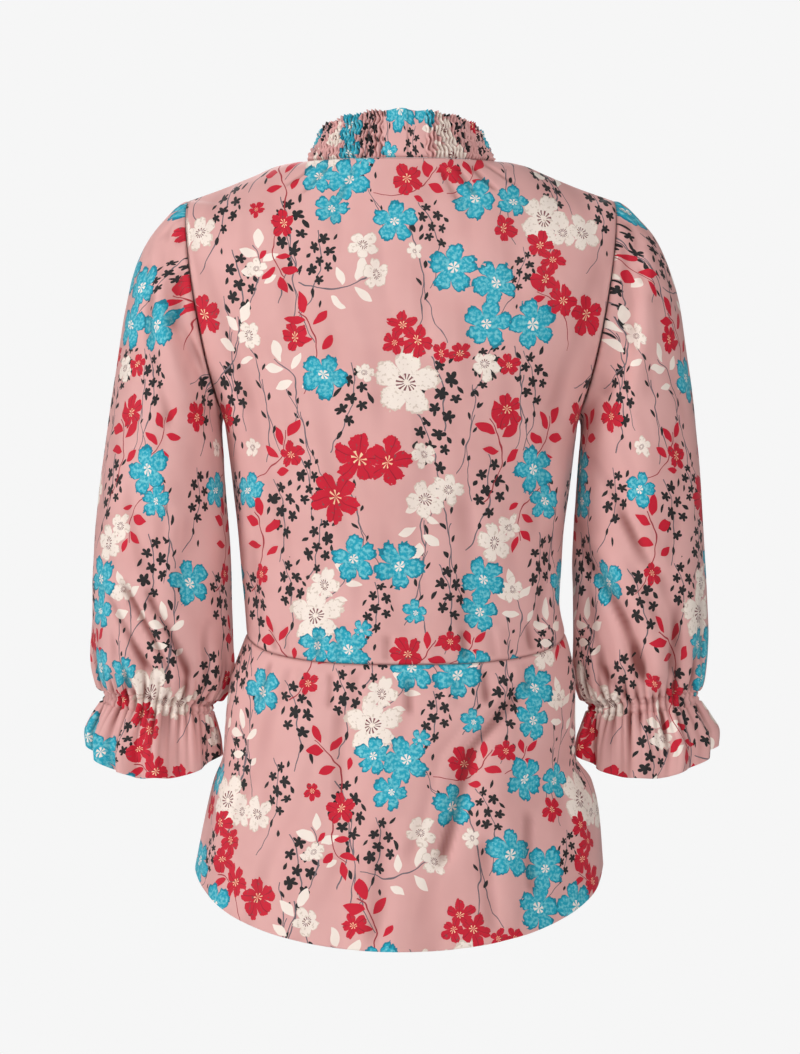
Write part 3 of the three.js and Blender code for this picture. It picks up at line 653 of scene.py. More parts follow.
def ink(under, over, mask):
    """Prints a colour over another where the mask is 1."""
    under, over = (linear(colour) if isinstance(colour, str) else colour for colour in (under, over))
    return add("ShaderNodeMix", {0: mask, 6: under, 7: over}, out=2, data_type="RGBA")


def along_line(own, x, y, turn, scale):
    """How far a place is from the point x, y along a direction, in units of the scale."""
    cosine, sine = math.cos(math.radians(turn)) / scale, math.sin(math.radians(turn)) / scale
    start = -(x * cosine + y * sine)
    part = calculate("MULTIPLY_ADD", own[0], cosine, start)
    return calculate("MULTIPLY_ADD", own[1], sine, part)


def leaf(own, x, y, length, turn, fullness):
    """1 on a pointed leaf with its middle at x and y, else 0."""
    along = along_line(own, x, y, turn, length / 2)
    across = along_line(own, x, y, turn + 90, length / 2)
    square = calculate("MULTIPLY", along, along)
    width = calculate("MULTIPLY_ADD", square, -fullness, fullness)
    return below(calculate("ABSOLUTE", across), width)


def leaves_of(own, rows, fullness, mask=None):
    """1 on any leaf of a table, or where the mask is already 1."""
    for x, y, length, turn in rows_of(rows):
        mask = either(mask, leaf(own, x, y, length, turn, fullness))
    return mask


def floret(own, x, y, size, turn):
    """1 on a small star of five points with its middle at x and y, else 0."""
    right = calculate("SUBTRACT", own[0], x)
    up = calculate("SUBTRACT", own[1], y)
    angle = calculate("ARCTAN2", up, right)
    square = calculate("MULTIPLY", right, right)
    square = calculate("MULTIPLY_ADD", up, up, square)
    distance = calculate("SQRT", square)
    point = calculate("ABSOLUTE", wave(angle, 2.5, math.radians(turn)))
    radius = calculate("MULTIPLY_ADD", point, 0.31 * size, 0.25 * size)
    return below(distance, radius)


def stem(own, bend, low, high, half_width):
    """1 on a thin bent line that runs up a motif from low to high, else 0."""
    curve = calculate("MULTIPLY", own[1], own[1])
    aside = calculate("MULTIPLY_ADD", curve, bend, own[0])
    near = below(calculate("ABSOLUTE", aside), half_width)
    from_middle = calculate("SUBTRACT", own[1], (low + high) / 2)
    reach = below(calculate("ABSOLUTE", from_middle), (high - low) / 2)
    return both(near, reach)


SPRAY_FLORETS = table(
    "x y size turn",
    (0, 27, 9, 0), (-8, 18, 9.5, 30), (7, 15, 10, 55), (-2, 5, 9.5, 12), (9, 0, 9, 40), (-8, -5, 10, 70),
    (2, -14, 9, 20),
)
SPRAY_DROPS = table(
    "x y length turn",
    (-14, 8, 8, 60), (14, 8, 8, 120), (-4, -27, 8, 80), (4, -36, 7, 100), (10, 30, 7, 60),
)
BRANCH_LEAVES = table(
    "x y length turn",
    (0, 27, 19, 85), (-11, 15, 19, 150), (11, 9, 18, 25), (-11, -4, 17, 165), (9, -13, 14, 30),
)
TWIG_DROPS = table(
    "x y length turn",
    (-3, 40, 8, 112), (3, 30, 7, 66), (-4, 17, 8, 120), (4, 6, 7, 62), (-4, -9, 8, 116), (3, -22, 7, 64),
)
SPRAY_REACH, BRANCH_REACH, TWIG_REACH = (17, 34), (25, 31), (10, 46)


# %% The printed crepe
def crepe(name, paleness):
    """The printed crepe: the chart, the inks, painted shade in gathers and seams, and the crinkled yarn."""
    global tree
    material = bpy.data.materials.new(name)
    material.use_nodes = True
    tree = material.node_tree
    tree.nodes.clear()
    cloth = add("ShaderNodeUVMap", uv_map="cloth")
    hand = add("ShaderNodeTexNoise", {"Vector": cloth, "Scale": 0.06, "Detail": 1.0, "Roughness": 0.4}, out=1)
    place = add("ShaderNodeVectorMath", {0: hand, 1: (9, 9, 0), 2: cloth}, operation="MULTIPLY_ADD")
    place = add("ShaderNodeVectorMath", {0: place, 1: (1, 1, 0)}, operation="MULTIPLY")
    edge_noise = add("ShaderNodeTexNoise", {"Vector": cloth, "Scale": 0.3, "Detail": 1.0}, out=0)
    ragged = calculate("MULTIPLY_ADD", edge_noise, 0.3, -0.15)
    mottle = add("ShaderNodeTexNoise", {"Vector": cloth, "Scale": 0.34, "Detail": 3.0}, out=0)
    light_patch = add("ShaderNodeMapRange", {0: mottle, 1: 0.45, 2: 0.62, 3: 0.0, 4: 1.0})
    coarse = add("ShaderNodeTexNoise", {"Vector": cloth, "Scale": 0.02, "Detail": 2.0}, out=0)
    printed = ink(PINK, PINK_SHADE, add("ShaderNodeMapRange", {0: coarse, 1: 0.35, 2: 0.75, 3: 0.0, 4: 0.5}))

    twig = upright(nearest_motif(place, BLACK_TWIGS, TWIG_REACH), TWIG_REACH)
    twig_stems = either(stem(twig, 0.003, -50, 48, 0.5), stem(twig, -0.004, -62, 20, 0.45))
    printed = ink(printed, GREY_STEM, twig_stems)
    printed = ink(printed, BLACK, leaves_of(twig, TWIG_DROPS, 0.4))

    spray = upright(nearest_motif(place, BLACK_SPRAYS, SPRAY_REACH), SPRAY_REACH)
    printed = ink(printed, GREY_STEM, stem(spray, 0.006, -58, 34, 0.55))
    blacks = None
    for x, y, size, turn in rows_of(SPRAY_FLORETS):
        blacks = either(blacks, floret(spray, x, y, size, turn))
    printed = ink(printed, BLACK, leaves_of(spray, SPRAY_DROPS, 0.42, blacks))

    for chart, leaf_ink, stem_ink in ((CREAM_BRANCHES, CREAM, GREY_STEM), (RED_BRANCHES, RED, RED_STEM)):
        branch = upright(nearest_motif(place, chart, BRANCH_REACH), BRANCH_REACH)
        printed = ink(printed, stem_ink, stem(branch, 0.012, -46, 22, 0.6))
        printed = ink(printed, leaf_ink, leaves_of(branch, BRANCH_LEAVES, 0.46))

    share, distance, angle = blossom(place, CREAM_BLOSSOMS, ragged)
    printed = ink(printed, CREAM_SHADE, below(share, 1.0))
    printed = ink(printed, CREAM, both(below(share, 0.93), above(mottle, 0.4)))
    strokes = both(above(wave(angle, 12), 0.25), both(above(distance, 0.1), below(distance, 0.3)))
    printed = ink(printed, RED_BROWN, strokes)

    share, distance, angle = blossom(place, RED_BLOSSOMS, ragged)
    on_it = below(share, 1.0)
    printed = ink(printed, RED, on_it)
    printed = ink(printed, RED_BROWN, both(on_it, above(mottle, 0.64)))
    printed = ink(printed, RED_DEEP, both(on_it, above(wave(angle, 5), 0.985)))
    printed = ink(printed, STAMEN, both(above(wave(angle, 7), 0.5), below(distance, 0.28)))

    share, distance, angle = blossom(place, TURQUOISE_BLOSSOMS, ragged)
    printed = ink(printed, TURQUOISE_DEEP, below(share, 1.0))
    printed = ink(printed, TURQUOISE, below(share, 0.9))
    printed = ink(printed, TURQUOISE_LIGHT, both(below(share, 0.86), light_patch))
    printed = ink(printed, CREAM, both(below(distance, 0.22), above(wave(angle, 6), -0.2)))
    if paleness:
        printed = ink(printed, PINK, paleness)
    # Painted shade: the printed colour is multiplied towards TROUGH_SHADE where a point lies deep in a gather
    # or on a seam.
    depth = add("ShaderNodeAttribute", attribute_name="painted_crease_shade", out=2)
    shade = {0: depth, 6: printed, 7: linear(TROUGH_SHADE)}
    printed = add("ShaderNodeMix", shade, out=2, data_type="RGBA", blend_type="MULTIPLY")

    crinkle = {"Vector": cloth, "Scale": 1.1, "Detail": 3.0, "Roughness": 0.6}
    pebble = add("ShaderNodeTexNoise", crinkle, out=0)
    bump = add("ShaderNodeBump", {"Strength": 0.35, "Distance": 0.00025, "Height": pebble})
    shader = add(
        "ShaderNodeBsdfPrincipled",
        {
            "Base Color": printed,
            "Roughness": 0.68,
            "Specular IOR Level": 0.3,
            "Sheen Weight": 0.08,
            "Sheen Roughness": 0.5,
            "Normal": bump,
        },
    )
    add("ShaderNodeOutputMaterial", {"Surface": shader}, out=None)
    print(name, "has", len(tree.nodes), "nodes")
    return material


printed_crepe = crepe("printed_polyester_crepe", 0.0)
crepe_reverse = crepe("printed_polyester_crepe_reverse", 0.45)


# %% [markdown]
# ## Bodice
# The bodice is one panel for the back and one for the front, joined at the shoulders and sides. On the real
# blouse a seam shows as a thin valley, because the cloth turns inwards along it, so every seamed edge dips
# by less than a millimetre. Points stand closer together along the edges to carry that valley.

# %% Points spaced across a panel
SEAM_DIP, SEAM_HALF_WIDTH = 0.8, 1.5
BODICE_LENGTH, PEPLUM_LENGTH, PANEL_WIDTH = 440, 240, 390
CALM_SIDE, CALM_TOP, CALM_BOTTOM = 9, 9, 7
EXTRA_POINTS_FROM_EDGE = (0.7, 1.5, 2.6, 4.2)
DRAPE_WAVES, DRAPE_HEIGHT = (95, 70, 52, 38, 27), 0.55
HEM_TURNS = np.radians([30, 60, 90, 120, 150, 180, 215, 250, 290])


def stations(count, length):
    """Places from 0 to 1, evenly spaced, with four more close to each end. Length is in millimetres."""
    close = np.array(EXTRA_POINTS_FROM_EDGE) / length
    return np.unique(np.concatenate([np.linspace(0, 1, count), close, 1 - close]))


def seam_dip(distance):
    return -SEAM_DIP * bell(distance / SEAM_HALF_WIDTH)


def soft_drape(u, v, seed):
    """A low unevenness of hanging cloth, from a few crossing waves."""
    waves = np.random.default_rng(seed)
    height = np.zeros_like(u)
    for length in DRAPE_WAVES:
        turn, start = waves.uniform(-0.5, 0.5), waves.uniform(0, 6.28)
        height += length / 130 * np.sin((u * math.cos(turn) + v * math.sin(turn)) * 6.283 / length + start)
    return height * DRAPE_HEIGHT


def add_hem(points, sense, radius, closed=False):
    """Rolls the last row of a grid inwards into a narrow round hem."""
    normal = (sense * grid_normals(points, closed))[-1]
    down = unit(points[-1] - points[-2])
    roll = []
    for turn in HEM_TURNS:
        roll.append(points[-1] - radius * normal + radius * (math.cos(turn) * normal + math.sin(turn) * down))
    return np.concatenate([points, np.array(roll)], 0), radius * HEM_TURNS


def panel(name, rows, edge_of, last_row, counts, folds, creases, seams, shift, seed, hem=0.0):
    """One panel of the body. Its sides are sewn, and seams tells whether its top and bottom are too."""
    facing = np.sign(rows["y"][0])
    sense = -facing
    length = BODICE_LENGTH if last_row == BODICE_ROWS else PEPLUM_LENGTH
    down, over = last_row * stations(counts[0], length), 2 * stations(counts[1], PANEL_WIDTH) - 1
    row, across = np.meshgrid(down, over, indexing="ij")
    points = panel_point(rows, edge_of, row, across)
    if folds is not None:
        push = crease_depth(folds, facing * points[..., 0], points[..., 2])
        points[..., 1] += facing * push * (1 - smooth_step(0.7, 1, np.abs(across)))
    normal = sense * grid_normals(points)
    from_top, from_left = distance_along(points, 0), distance_along(points, 1)
    to_bottom, to_right = from_top[-1:] - from_top, from_left[:, -1:] - from_left
    to_side = np.minimum(from_left, to_right)
    level = np.linalg.norm(np.diff(points[..., :2], axis=1), axis=-1)
    level = np.cumsum(np.pad(level, ((0, 0), (1, 0))), axis=1)
    cloth_u = level[:, points.shape[1] // 2][:, None] - level + shift[0]
    cloth_v = points[..., 2] + shift[1]
    push = crease_depth(creases, facing * points[..., 0], points[..., 2]) + soft_drape(cloth_u, cloth_v, seed)
    calm, sewn = smooth_step(0, CALM_SIDE, to_side), seam_dip(to_side)
    for has_seam, distance, calm_width in zip(seams, (from_top, to_bottom), (CALM_TOP, CALM_BOTTOM)):
        if has_seam:
            calm = calm * smooth_step(0, calm_width, distance)
            sewn = sewn + seam_dip(distance)
    # Painted shade for the panel's creases and seams.
    depth = painted_crease_shade(push * calm, PANEL_WINDOW, sewn)
    points = points + (push * calm + sewn)[..., None] * normal
    if hem:
        points, curl = add_hem(points, sense, hem)
        cloth_u = np.concatenate([cloth_u, np.repeat(cloth_u[-1:], len(curl), 0)], 0)
        cloth_v = np.concatenate([cloth_v, cloth_v[-1:] - curl[:, None]], 0)
    return cloth_piece(name, points, cloth_u, cloth_v, sense, depth)


# %% Back and front bodice
BACK_CREASES = table(
    CREASE_COLUMNS,
    (-34, -10, -40, -22, -48, -38, 3.2, -1.5),
    (-48, -8, -55, -20, -64, -34, 2.8, -1.5),
    (-60, -6, -68, -16, -80, -28, 3.0, -1.7),
    (-72, -4, -82, -12, -96, -22, 2.6, -1.4),
    (62, -6, 70, -16, 82, -30, 3.0, -1.5),
    (74, -5, 84, -14, 98, -24, 2.6, -1.4),
    (40, -10, 46, -22, 52, -36, 2.8, -1.0),
    (168, -92, 150, -150, 132, -214, 11, -2.7),
    (150, -196, 138, -236, 122, -300, 10, 2.4),
    (-166, -96, -148, -156, -128, -218, 11, -2.7),
    (-150, -200, -136, -250, -124, -320, 10, 2.2),
    (128, -330, 124, -370, 118, -404, 7, -2.2),
    (-128, -320, -124, -366, -112, -412, 8, -2.5),
    (112, -398, 110, -408, 108, -422, 4, -1.7),
    (92, -402, 90, -412, 90, -426, 3.6, 1.5),
    (70, -404, 71, -415, 70, -428, 4, -1.5),
    (44, -408, 44, -418, 43, -430, 3.6, 1.4),
    (12, -406, 12, -418, 12, -430, 4.4, -1.5),
    (-24, -408, -23, -418, -24, -430, 3.8, 1.4),
    (-52, -402, -53, -414, -54, -428, 4.2, -1.7),
    (-82, -400, -84, -412, -86, -426, 3.6, 1.4),
    (-108, -396, -110, -408, -112, -420, 4, -1.7),
    (30, -300, 24, -350, 30, -410, 13, 1.8),
    (-50, -290, -58, -345, -52, -405, 14, -2.0),
)
FRONT_CREASES = table(
    CREASE_COLUMNS,
    (-34, -66, -36, -84, -40, -104, 3.2, -1.5),
    (36, -66, 38, -86, 44, -106, 3.2, -1.5),
    (8, -68, 8, -86, 10, -104, 3.0, -1.4),
    (-14, -68, -14, -88, -16, -110, 3.2, 1.4),
    (60, -40, 68, -62, 80, -86, 3.4, -1.4),
    (-60, -40, -68, -62, -80, -86, 3.4, -1.4),
    (164, -94, 146, -150, 124, -206, 12, -3.0),
    (-164, -94, -146, -150, -124, -206, 12, -3.0),
    (140, -214, 110, -236, 84, -250, 10, -2.4),
    (-140, -214, -112, -238, -80, -256, 10, -2.4),
    (100, -392, 98, -404, 96, -418, 4, -1.7),
    (62, -398, 62, -408, 60, -422, 4, 1.5),
    (20, -400, 20, -410, 20, -424, 4.4, -1.7),
    (-30, -400, -31, -410, -32, -424, 4, 1.5),
    (-76, -396, -78, -408, -80, -420, 4, -1.7),
    (46, -290, 40, -340, 44, -400, 14, -2.2),
    (-44, -296, -50, -345, -46, -404, 14, 2.1),
    (100, -300, 96, -350, 90, -400, 12, 2.0),
)
back_bodice = panel(
    "back_bodice_cloth", BACK_BODICE, lambda row, side: bodice_edge(row, side, 1), BODICE_ROWS,
    (190, 151), None, BACK_CREASES, (True, True), (0, 0), 3,
)
front_bodice = panel(
    "front_bodice_cloth", FRONT_BODICE, lambda row, side: bodice_edge(row, side, -1), BODICE_ROWS,
    (190, 151), None, FRONT_CREASES, (True, True), (170, 60), 4,
)

# %% [markdown]
# ## Peplum
# The peplum is cut as part of a ring, so it is wider at its hem than at the waist and falls in a few broad
# flutes. Its curved hem is rolled and stitched, a round edge of about two millimetres.

# %% Back and front peplum
BACK_PEPLUM_CREASES = table(
    CREASE_COLUMNS,
    (-108, -446, -58, -500, -33, -596, 8, -2.8),
    (-92, -446, -44, -506, -20, -590, 10, 2.7),
    (-108, -556, -108, -590, -112, -622, 6, -2.0),
    (52, -470, 54, -500, 54, -540, 8, -1.5),
    (112, -430, 116, -444, 122, -462, 4, -1.7),
    (88, -436, 90, -448, 92, -464, 4, 1.5),
    (60, -438, 60, -450, 61, -466, 3.8, -1.5),
    (30, -440, 30, -450, 30, -468, 4, 1.4),
    (-6, -442, -6, -452, -7, -470, 4.4, -1.7),
    (-38, -440, -38, -452, -40, -468, 4, 1.5),
    (-70, -436, -71, -448, -74, -464, 4, -1.7),
    (-96, -430, -98, -442, -102, -456, 3.8, 1.4),
    (20, -560, 22, -610, 26, -660, 12, -2.2),
    (-70, -580, -72, -620, -76, -655, 10, -2.1),
    (140, -520, 150, -560, 158, -600, 9, 2.1),
    (-140, -520, -150, -560, -156, -596, 9, 2.1),
)


def peplum_edge(row, side):
    return side_edge(PEPLUM_SIDE, row, side)


back_peplum = panel(
    "back_peplum_cloth", BACK_PEPLUM, peplum_edge, PEPLUM_ROWS,
    (86, 171), PEPLUM_FOLDS, BACK_PEPLUM_CREASES, (True, False), (-46, 92), 5, 1.1,
)
front_peplum = panel(
    "front_peplum_cloth", FRONT_PEPLUM, peplum_edge, PEPLUM_ROWS,
    (86, 171), PEPLUM_FOLDS, BACK_PEPLUM_CREASES, (True, False), (120, 200), 6, 1.1,
)

# %% [markdown]
# ## Sleeves
# Each sleeve is a full tube, gathered at the wrist end by a narrow elastic that leaves a frill below it.
# The rings of a table give its worn outline. Around the elastic the cloth stands in small gathers, and the
# longer of them run on upwards as drag folds. Below, they open into the broad flutes of the frill.

# %% Rings of a sleeve
SLEEVE_RINGS = table(
    "row left_out right_out out_z left_in right_in in_z back front sag",
    (0, 182, 182, -33, 150, 150, -218, 55, -50, 0),
    (1, 191, 191, -38, 152, 152, -220, 58, -53, 0),
    (2, 203, 203, -49, 153.3, 153.3, -223, 60, -55, 0),
    (3, 216, 217, -65, 154, 154, -228, 62, -57, 0),
    (4, 227.5, 229, -90, 154, 154, -234, 63, -59, 0),
    (5, 235, 238, -120, 153.5, 153.5, -242, 64, -60, 0),
    (6, 242, 244.5, -160, 152.5, 152.5, -253, 64, -61, 0),
    (7, 248.5, 251, -205, 151.5, 151.5, -268, 63, -62, 0),
    (8, 255, 256, -250, 150, 150, -288, 62, -64, 0),
    (9, 260.5, 259.5, -290, 148.3, 148.3, -312, 60, -67, 0),
    (10, 264.3, 261.6, -328, 146.5, 147.6, -341, 56, -70, 0),
    (11, 265.8, 262.8, -364, 146.5, 148.8, -370, 51, -74, 0),
    (12, 265, 263, -397, 146.3, 149, -400, 45, -78, 0),
    (13, 263.5, 261.7, -425, 146.4, 149.5, -429, 38, -80, 0),
    (14, 260, 259.2, -444, 150.5, 153, -449, 28, -79, 0),
    (15, 256, 256, -453, 158.5, 158.5, -460, 19, -74, 1),
    (16, 254, 253.8, -460, 165, 165, -468, 14, -70, 2),
    (17, 258, 257.5, -467, 163, 162, -475, 17, -73, 4),
    (18, 265, 264, -478, 160, 158, -485, 22, -78, 9),
    (19, 270, 270, -491, 158, 155, -497, 26, -82, 16),
    (20, 268, 268, -504, 158, 155, -508, 28, -84, 22),
)
LAST_RING, ELASTIC_RING, ARMHOLE_SHAPE_ENDS = 20, 16, 7
ELASTIC_EDGES = (15.3, 16.75)
GATHER_COUNT, FRILL_FLUTES = 42, 11
GATHER_HEIGHT = table(
    "row height",
    (0, 0), (12.6, 0), (13.6, 0.7), (14.6, 2.4), (15.3, 4.2),
    (16, 3.4), (16.7, 4.2), (17.4, 3.0), (18.4, 1.3), (20, 0.3),
)
FLUTE_DEPTH = table("row depth", (16, 0), (17, 1.2), (18, 3.0), (19, 4.6), (20, 6.0))
FRILL_HEM_LIFT = 0.2
SLEEVE_CLOTH_RADIUS = 64
SLEEVE_COLUMNS = GATHER_COUNT * 7
SLEEVE_ROWS = np.concatenate([
    [0, 0.06, 0.13, 0.24],
    np.linspace(0.4, 13, 68),
    np.linspace(13.15, 14.8, 12),
    np.linspace(14.86, 17.2, 42),
    np.linspace(17.35, LAST_RING, 18),
])
ELASTIC_STITCH_DEPTH, CUFF_HEM_RADIUS = 1.6, 0.9
DRAG_FOLDS, DRAG_LENGTHS, DRAG_HEIGHTS, DRAG_LEANS = 40, (16, 78), (1.6, 5.2), (-0.006, 0.003)
FRILL_FOLDS, FRILL_LENGTHS, FRILL_HEIGHTS, FRILL_FOLD_WIDTH = 22, (14, 44), (1.4, 4.2), 0.06


def sleeve_ellipse(ring, angle, side):
    """A ring of a sleeve as an ellipse between its outer and inner ends, and which way is out from it."""
    hand = "left" if side > 0 else "right"
    zero = np.zeros_like(ring)
    out = np.stack([read(SLEEVE_RINGS, hand + "_out", ring), zero, read(SLEEVE_RINGS, "out_z", ring)], -1)
    inner = np.stack([read(SLEEVE_RINGS, hand + "_in", ring), zero, read(SLEEVE_RINGS, "in_z", ring)], -1)
    half_width = (out - inner) / 2
    back, front = read(SLEEVE_RINGS, "back", ring), read(SLEEVE_RINGS, "front", ring)
    cosine, sine = np.cos(angle), np.sin(angle)
    point = (out + inner) / 2 + cosine[..., None] * half_width
    point[..., 1] = (back + front) / 2 + (back - front) / 2 * sine
    round_sag = (np.sqrt(sine ** 2 + 0.03) - 0.03 ** 0.5) / (1.03 ** 0.5 - 0.03 ** 0.5)
    point[..., 2] -= read(SLEEVE_RINGS, "sag", ring) * round_sag
    outward = half_width * (cosine / (half_width ** 2).sum(-1))[..., None]
    outward[..., 1] = sine / ((back - front) / 2)
    return point, unit(outward)


def sleeve(name, side, folds, creases, cloth_middle, seed):
    """One sleeve, made as the left one. The right one is turned over at the end."""
    ring, angle = np.meshgrid(
        SLEEVE_ROWS,
        np.linspace(-np.pi, np.pi, SLEEVE_COLUMNS, endpoint=False),
        indexing="ij",
    )
    points, outward = sleeve_ellipse(ring, angle, side)
    left_over = 1 - smooth_step(0, ARMHOLE_SHAPE_ENDS, ring)
    points += left_over[..., None] * (armhole_point(angle) - sleeve_ellipse(0 * ring, angle, side)[0])
    wander = 0.5 * np.sin(2 * angle + seed) + 0.35 * np.sin(3 * angle + 2 * seed)
    flute = read(FLUTE_DEPTH, "depth", ring) * (
        np.cos(FRILL_FLUTES * angle + wander) * (0.85 + 0.3 * np.sin(2 * angle + 1.7 * seed))
    )
    on_face = np.abs(np.sin(angle)) * smooth_step(0, 2, ring)
    fold = on_face * crease_depth(folds, side * points[..., 0], points[..., 2])
    points += (flute + fold)[..., None] * outward
    points[..., 2] += FRILL_HEM_LIFT * flute

    normal = grid_normals(points, True)
    down = distance_along(points, 0)
    elastic_row = np.argmin(np.abs(ring[:, 0] - ELASTIC_RING))
    above_elastic = down[elastic_row][None] - down
    below_elastic = -above_elastic
    shuffle = 0.5 * np.sin(5 * angle + seed) + 0.3 * np.sin(9 * angle)
    pleat = np.abs(np.cos(GATHER_COUNT / 2 * angle + shuffle))
    push = read(GATHER_HEIGHT, "height", ring) * (pleat ** 1.4 - 0.4)
    drag = np.random.default_rng(seed)
    for i in range(DRAG_FOLDS):
        middle = -np.pi + (i + drag.uniform(0.1, 0.9)) * 2 * np.pi / DRAG_FOLDS
        length, height = drag.uniform(*DRAG_LENGTHS), drag.uniform(*DRAG_HEIGHTS)
        lean = drag.uniform(*DRAG_LEANS)
        spread = 0.055 + 0.0012 * np.maximum(above_elastic, 0)
        offset = (angle - middle - lean * above_elastic + np.pi) % (2 * np.pi) - np.pi
        reach = bell(np.maximum(above_elastic, 0) / length) * (above_elastic > 0)
        push = push + height * bell(offset / spread) * reach * smooth_step(2, 12, above_elastic)
    for i in range(FRILL_FOLDS):
        middle = -np.pi + (i + drag.uniform(0.1, 0.9)) * 2 * np.pi / FRILL_FOLDS
        length, height = drag.uniform(*FRILL_LENGTHS), drag.uniform(*FRILL_HEIGHTS)
        offset = (angle - middle + np.pi) % (2 * np.pi) - np.pi
        reach = bell(np.maximum(below_elastic, 0) / length) * (below_elastic > 0)
        push = push - height * bell(offset / FRILL_FOLD_WIDTH) * reach * smooth_step(2, 9, below_elastic)
    head = bell(angle / 0.9) * bell(down / 22) * smooth_step(0, 5, down)
    push = push + 0.9 * head * np.sin(26 * angle + 2 * np.sin(5 * angle + seed))
    push = push + crease_depth(creases, side * points[..., 0], points[..., 2]) * on_face
    cloth_v = points[..., 2].copy()
    cloth_u = cloth_middle - side * SLEEVE_CLOTH_RADIUS * (np.pi / 2 - angle)
    push = push + soft_drape(cloth_u, cloth_v, seed) * smooth_step(0, 10, down)
    for edge in ELASTIC_EDGES:
        push = push - ELASTIC_STITCH_DEPTH * bell((ring - edge) / 0.13)
    # Painted shade for the sleeve's gathers, folds and seams.
    depth = painted_crease_shade(push, SLEEVE_WINDOW, seam_dip(down))
    points = points + (push + seam_dip(down))[..., None] * normal
    points, curl = add_hem(points, 1, CUFF_HEM_RADIUS, True)
    cloth_v = np.concatenate([cloth_v, cloth_v[-1:] - curl[:, None]], 0)
    cloth_u = np.concatenate([cloth_u, np.repeat(cloth_u[-1:], len(curl), 0)], 0)
    cloth_u = np.concatenate([cloth_u, cloth_u[:, :1] + side * 2 * np.pi * SLEEVE_CLOTH_RADIUS], 1)
    cloth_v = np.concatenate([cloth_v, cloth_v[:, :1]], 1)
    points[..., 0] *= side
    return cloth_piece(name, points, cloth_u, cloth_v, side, depth, closed=True)


# %% Left and right sleeve
LEFT_SLEEVE_CREASES = table(
    CREASE_COLUMNS,
    (190, -62, 189, -140, 160, -196, 7, -5.0),
    (202, -70, 205, -140, 182, -206, 8, 3.0),
    (214, -90, 216, -160, 196, -226, 7, -3.4),
    (196, -52, 200, -74, 203, -104, 3.4, -1.9),
    (206, -60, 211, -84, 214, -116, 3.4, 1.5),
    (236, -250, 232, -300, 220, -352, 9, -1.6),
    (190, -300, 200, -352, 204, -400, 8, 1.5),
    (216, -436, 232, -410, 250, -372, 6, -3.2),
    (196, -440, 214, -404, 238, -362, 7, -3.6),
    (180, -444, 194, -412, 216, -372, 6, -3.2),
    (204, -436, 222, -406, 244, -366, 6, 2.4),
    (188, -442, 202, -410, 226, -368, 6, 2.4),
    (164, -392, 168, -420, 174, -446, 6, -2.4),
)
RIGHT_SLEEVE_CREASES = table(
    CREASE_COLUMNS,
    (-150, -308, -169, -431, -186, -457, 6, -4.2),
    (-155, -337, -191, -397, -206, -444, 6.5, -4.6),
    (-166, -322, -204, -386, -222, -440, 8, 3.4),
    (-182, -300, -222, -360, -240, -420, 8, -2.6),
    (-158, -250, -186, -300, -206, -350, 10, -2.2),
    (-192, -70, -193, -146, -170, -204, 8, -3.2),
    (-206, -84, -208, -150, -194, -212, 8, 2.2),
    (-196, -54, -201, -76, -204, -108, 3.4, -1.8),
    (-208, -64, -212, -88, -214, -118, 3.4, 1.4),
    (-236, -230, -236, -290, -226, -350, 9, -1.6),
    (-240, -372, -236, -402, -230, -436, 6, -1.8),
)
left_sleeve = sleeve("left_sleeve_cloth", 1, LEFT_SLEEVE_FOLDS, LEFT_SLEEVE_CREASES, -203, 11)
right_sleeve = sleeve("right_sleeve_cloth", -1, RIGHT_SLEEVE_FOLDS, RIGHT_SLEEVE_CREASES, 205, 12)

# %% [markdown]
# ## Smocked stand collar
# The collar is a strip about three quarters as long again as the neck, shirred on five rows of thin elastic.
# Each row pulls the cloth flat, and between the rows it stands in narrow wavy gathers. The cloth above the
# last row is free and makes a small frill. A short part at centre back is plain, where the ends of the strip
# overlap.

# %% Collar
COLLAR_HALF_WIDTH, COLLAR_BACK_Y, COLLAR_FRONT_Y = 69, 44, -68
COLLAR_SIDE_Z, COLLAR_BACK_Z, COLLAR_FRONT_Z = 23, 41.5, -22
TOP_WAVES, TOP_WAVE_HEIGHT = 17, 0.9
COLLAR_GATHERS, POINTS_PER_GATHER = 124, 9
COLLAR_FULLNESS, NECK_LENGTH = 1.75, 430
GATHER_ON_ELASTIC, GATHER_BETWEEN, TOP_FRILL_GAIN = 2.0, 4.3, 1.25
COLLAR_PAINTED_SHADE_GAIN, COLLAR_SEAM_GAIN, MEASURED_ROW = 1.4, 1.2, 8
ELASTIC_SHARE = 0.035
ELASTIC_HEIGHTS = (0.14, 0.32, 0.5, 0.68, 0.84)
PLAIN_FROM_X, PLAIN_TO_X, OVERLAP_X = -21, 14, -5


def neck_point(turn):
    """The neck seam, from a turn of 0 at the right side over the back to half a turn at the left side."""
    place = (turn / np.pi) % 2
    across = np.where(place < 1, 2 * place - 1, 3 - 2 * place)
    zero = np.zeros_like(turn)
    back = panel_point(BACK_BODICE, lambda row, side: bodice_edge(row, side, 1), zero, across)
    front = panel_point(FRONT_BODICE, lambda row, side: bodice_edge(row, side, -1), zero, across)
    return np.where((place < 1)[..., None], back, front)


def collar_top(turn):
    middle_y = (COLLAR_BACK_Y + COLLAR_FRONT_Y) / 2
    side = np.sin(turn)
    end_z = np.where(side > 0, COLLAR_BACK_Z, COLLAR_FRONT_Z)
    z = mix(COLLAR_SIDE_Z, end_z, np.abs(side)) + TOP_WAVE_HEIGHT * np.sin(TOP_WAVES * turn)
    return np.stack([-COLLAR_HALF_WIDTH * np.cos(turn), middle_y + (COLLAR_BACK_Y - middle_y) * side, z], -1)


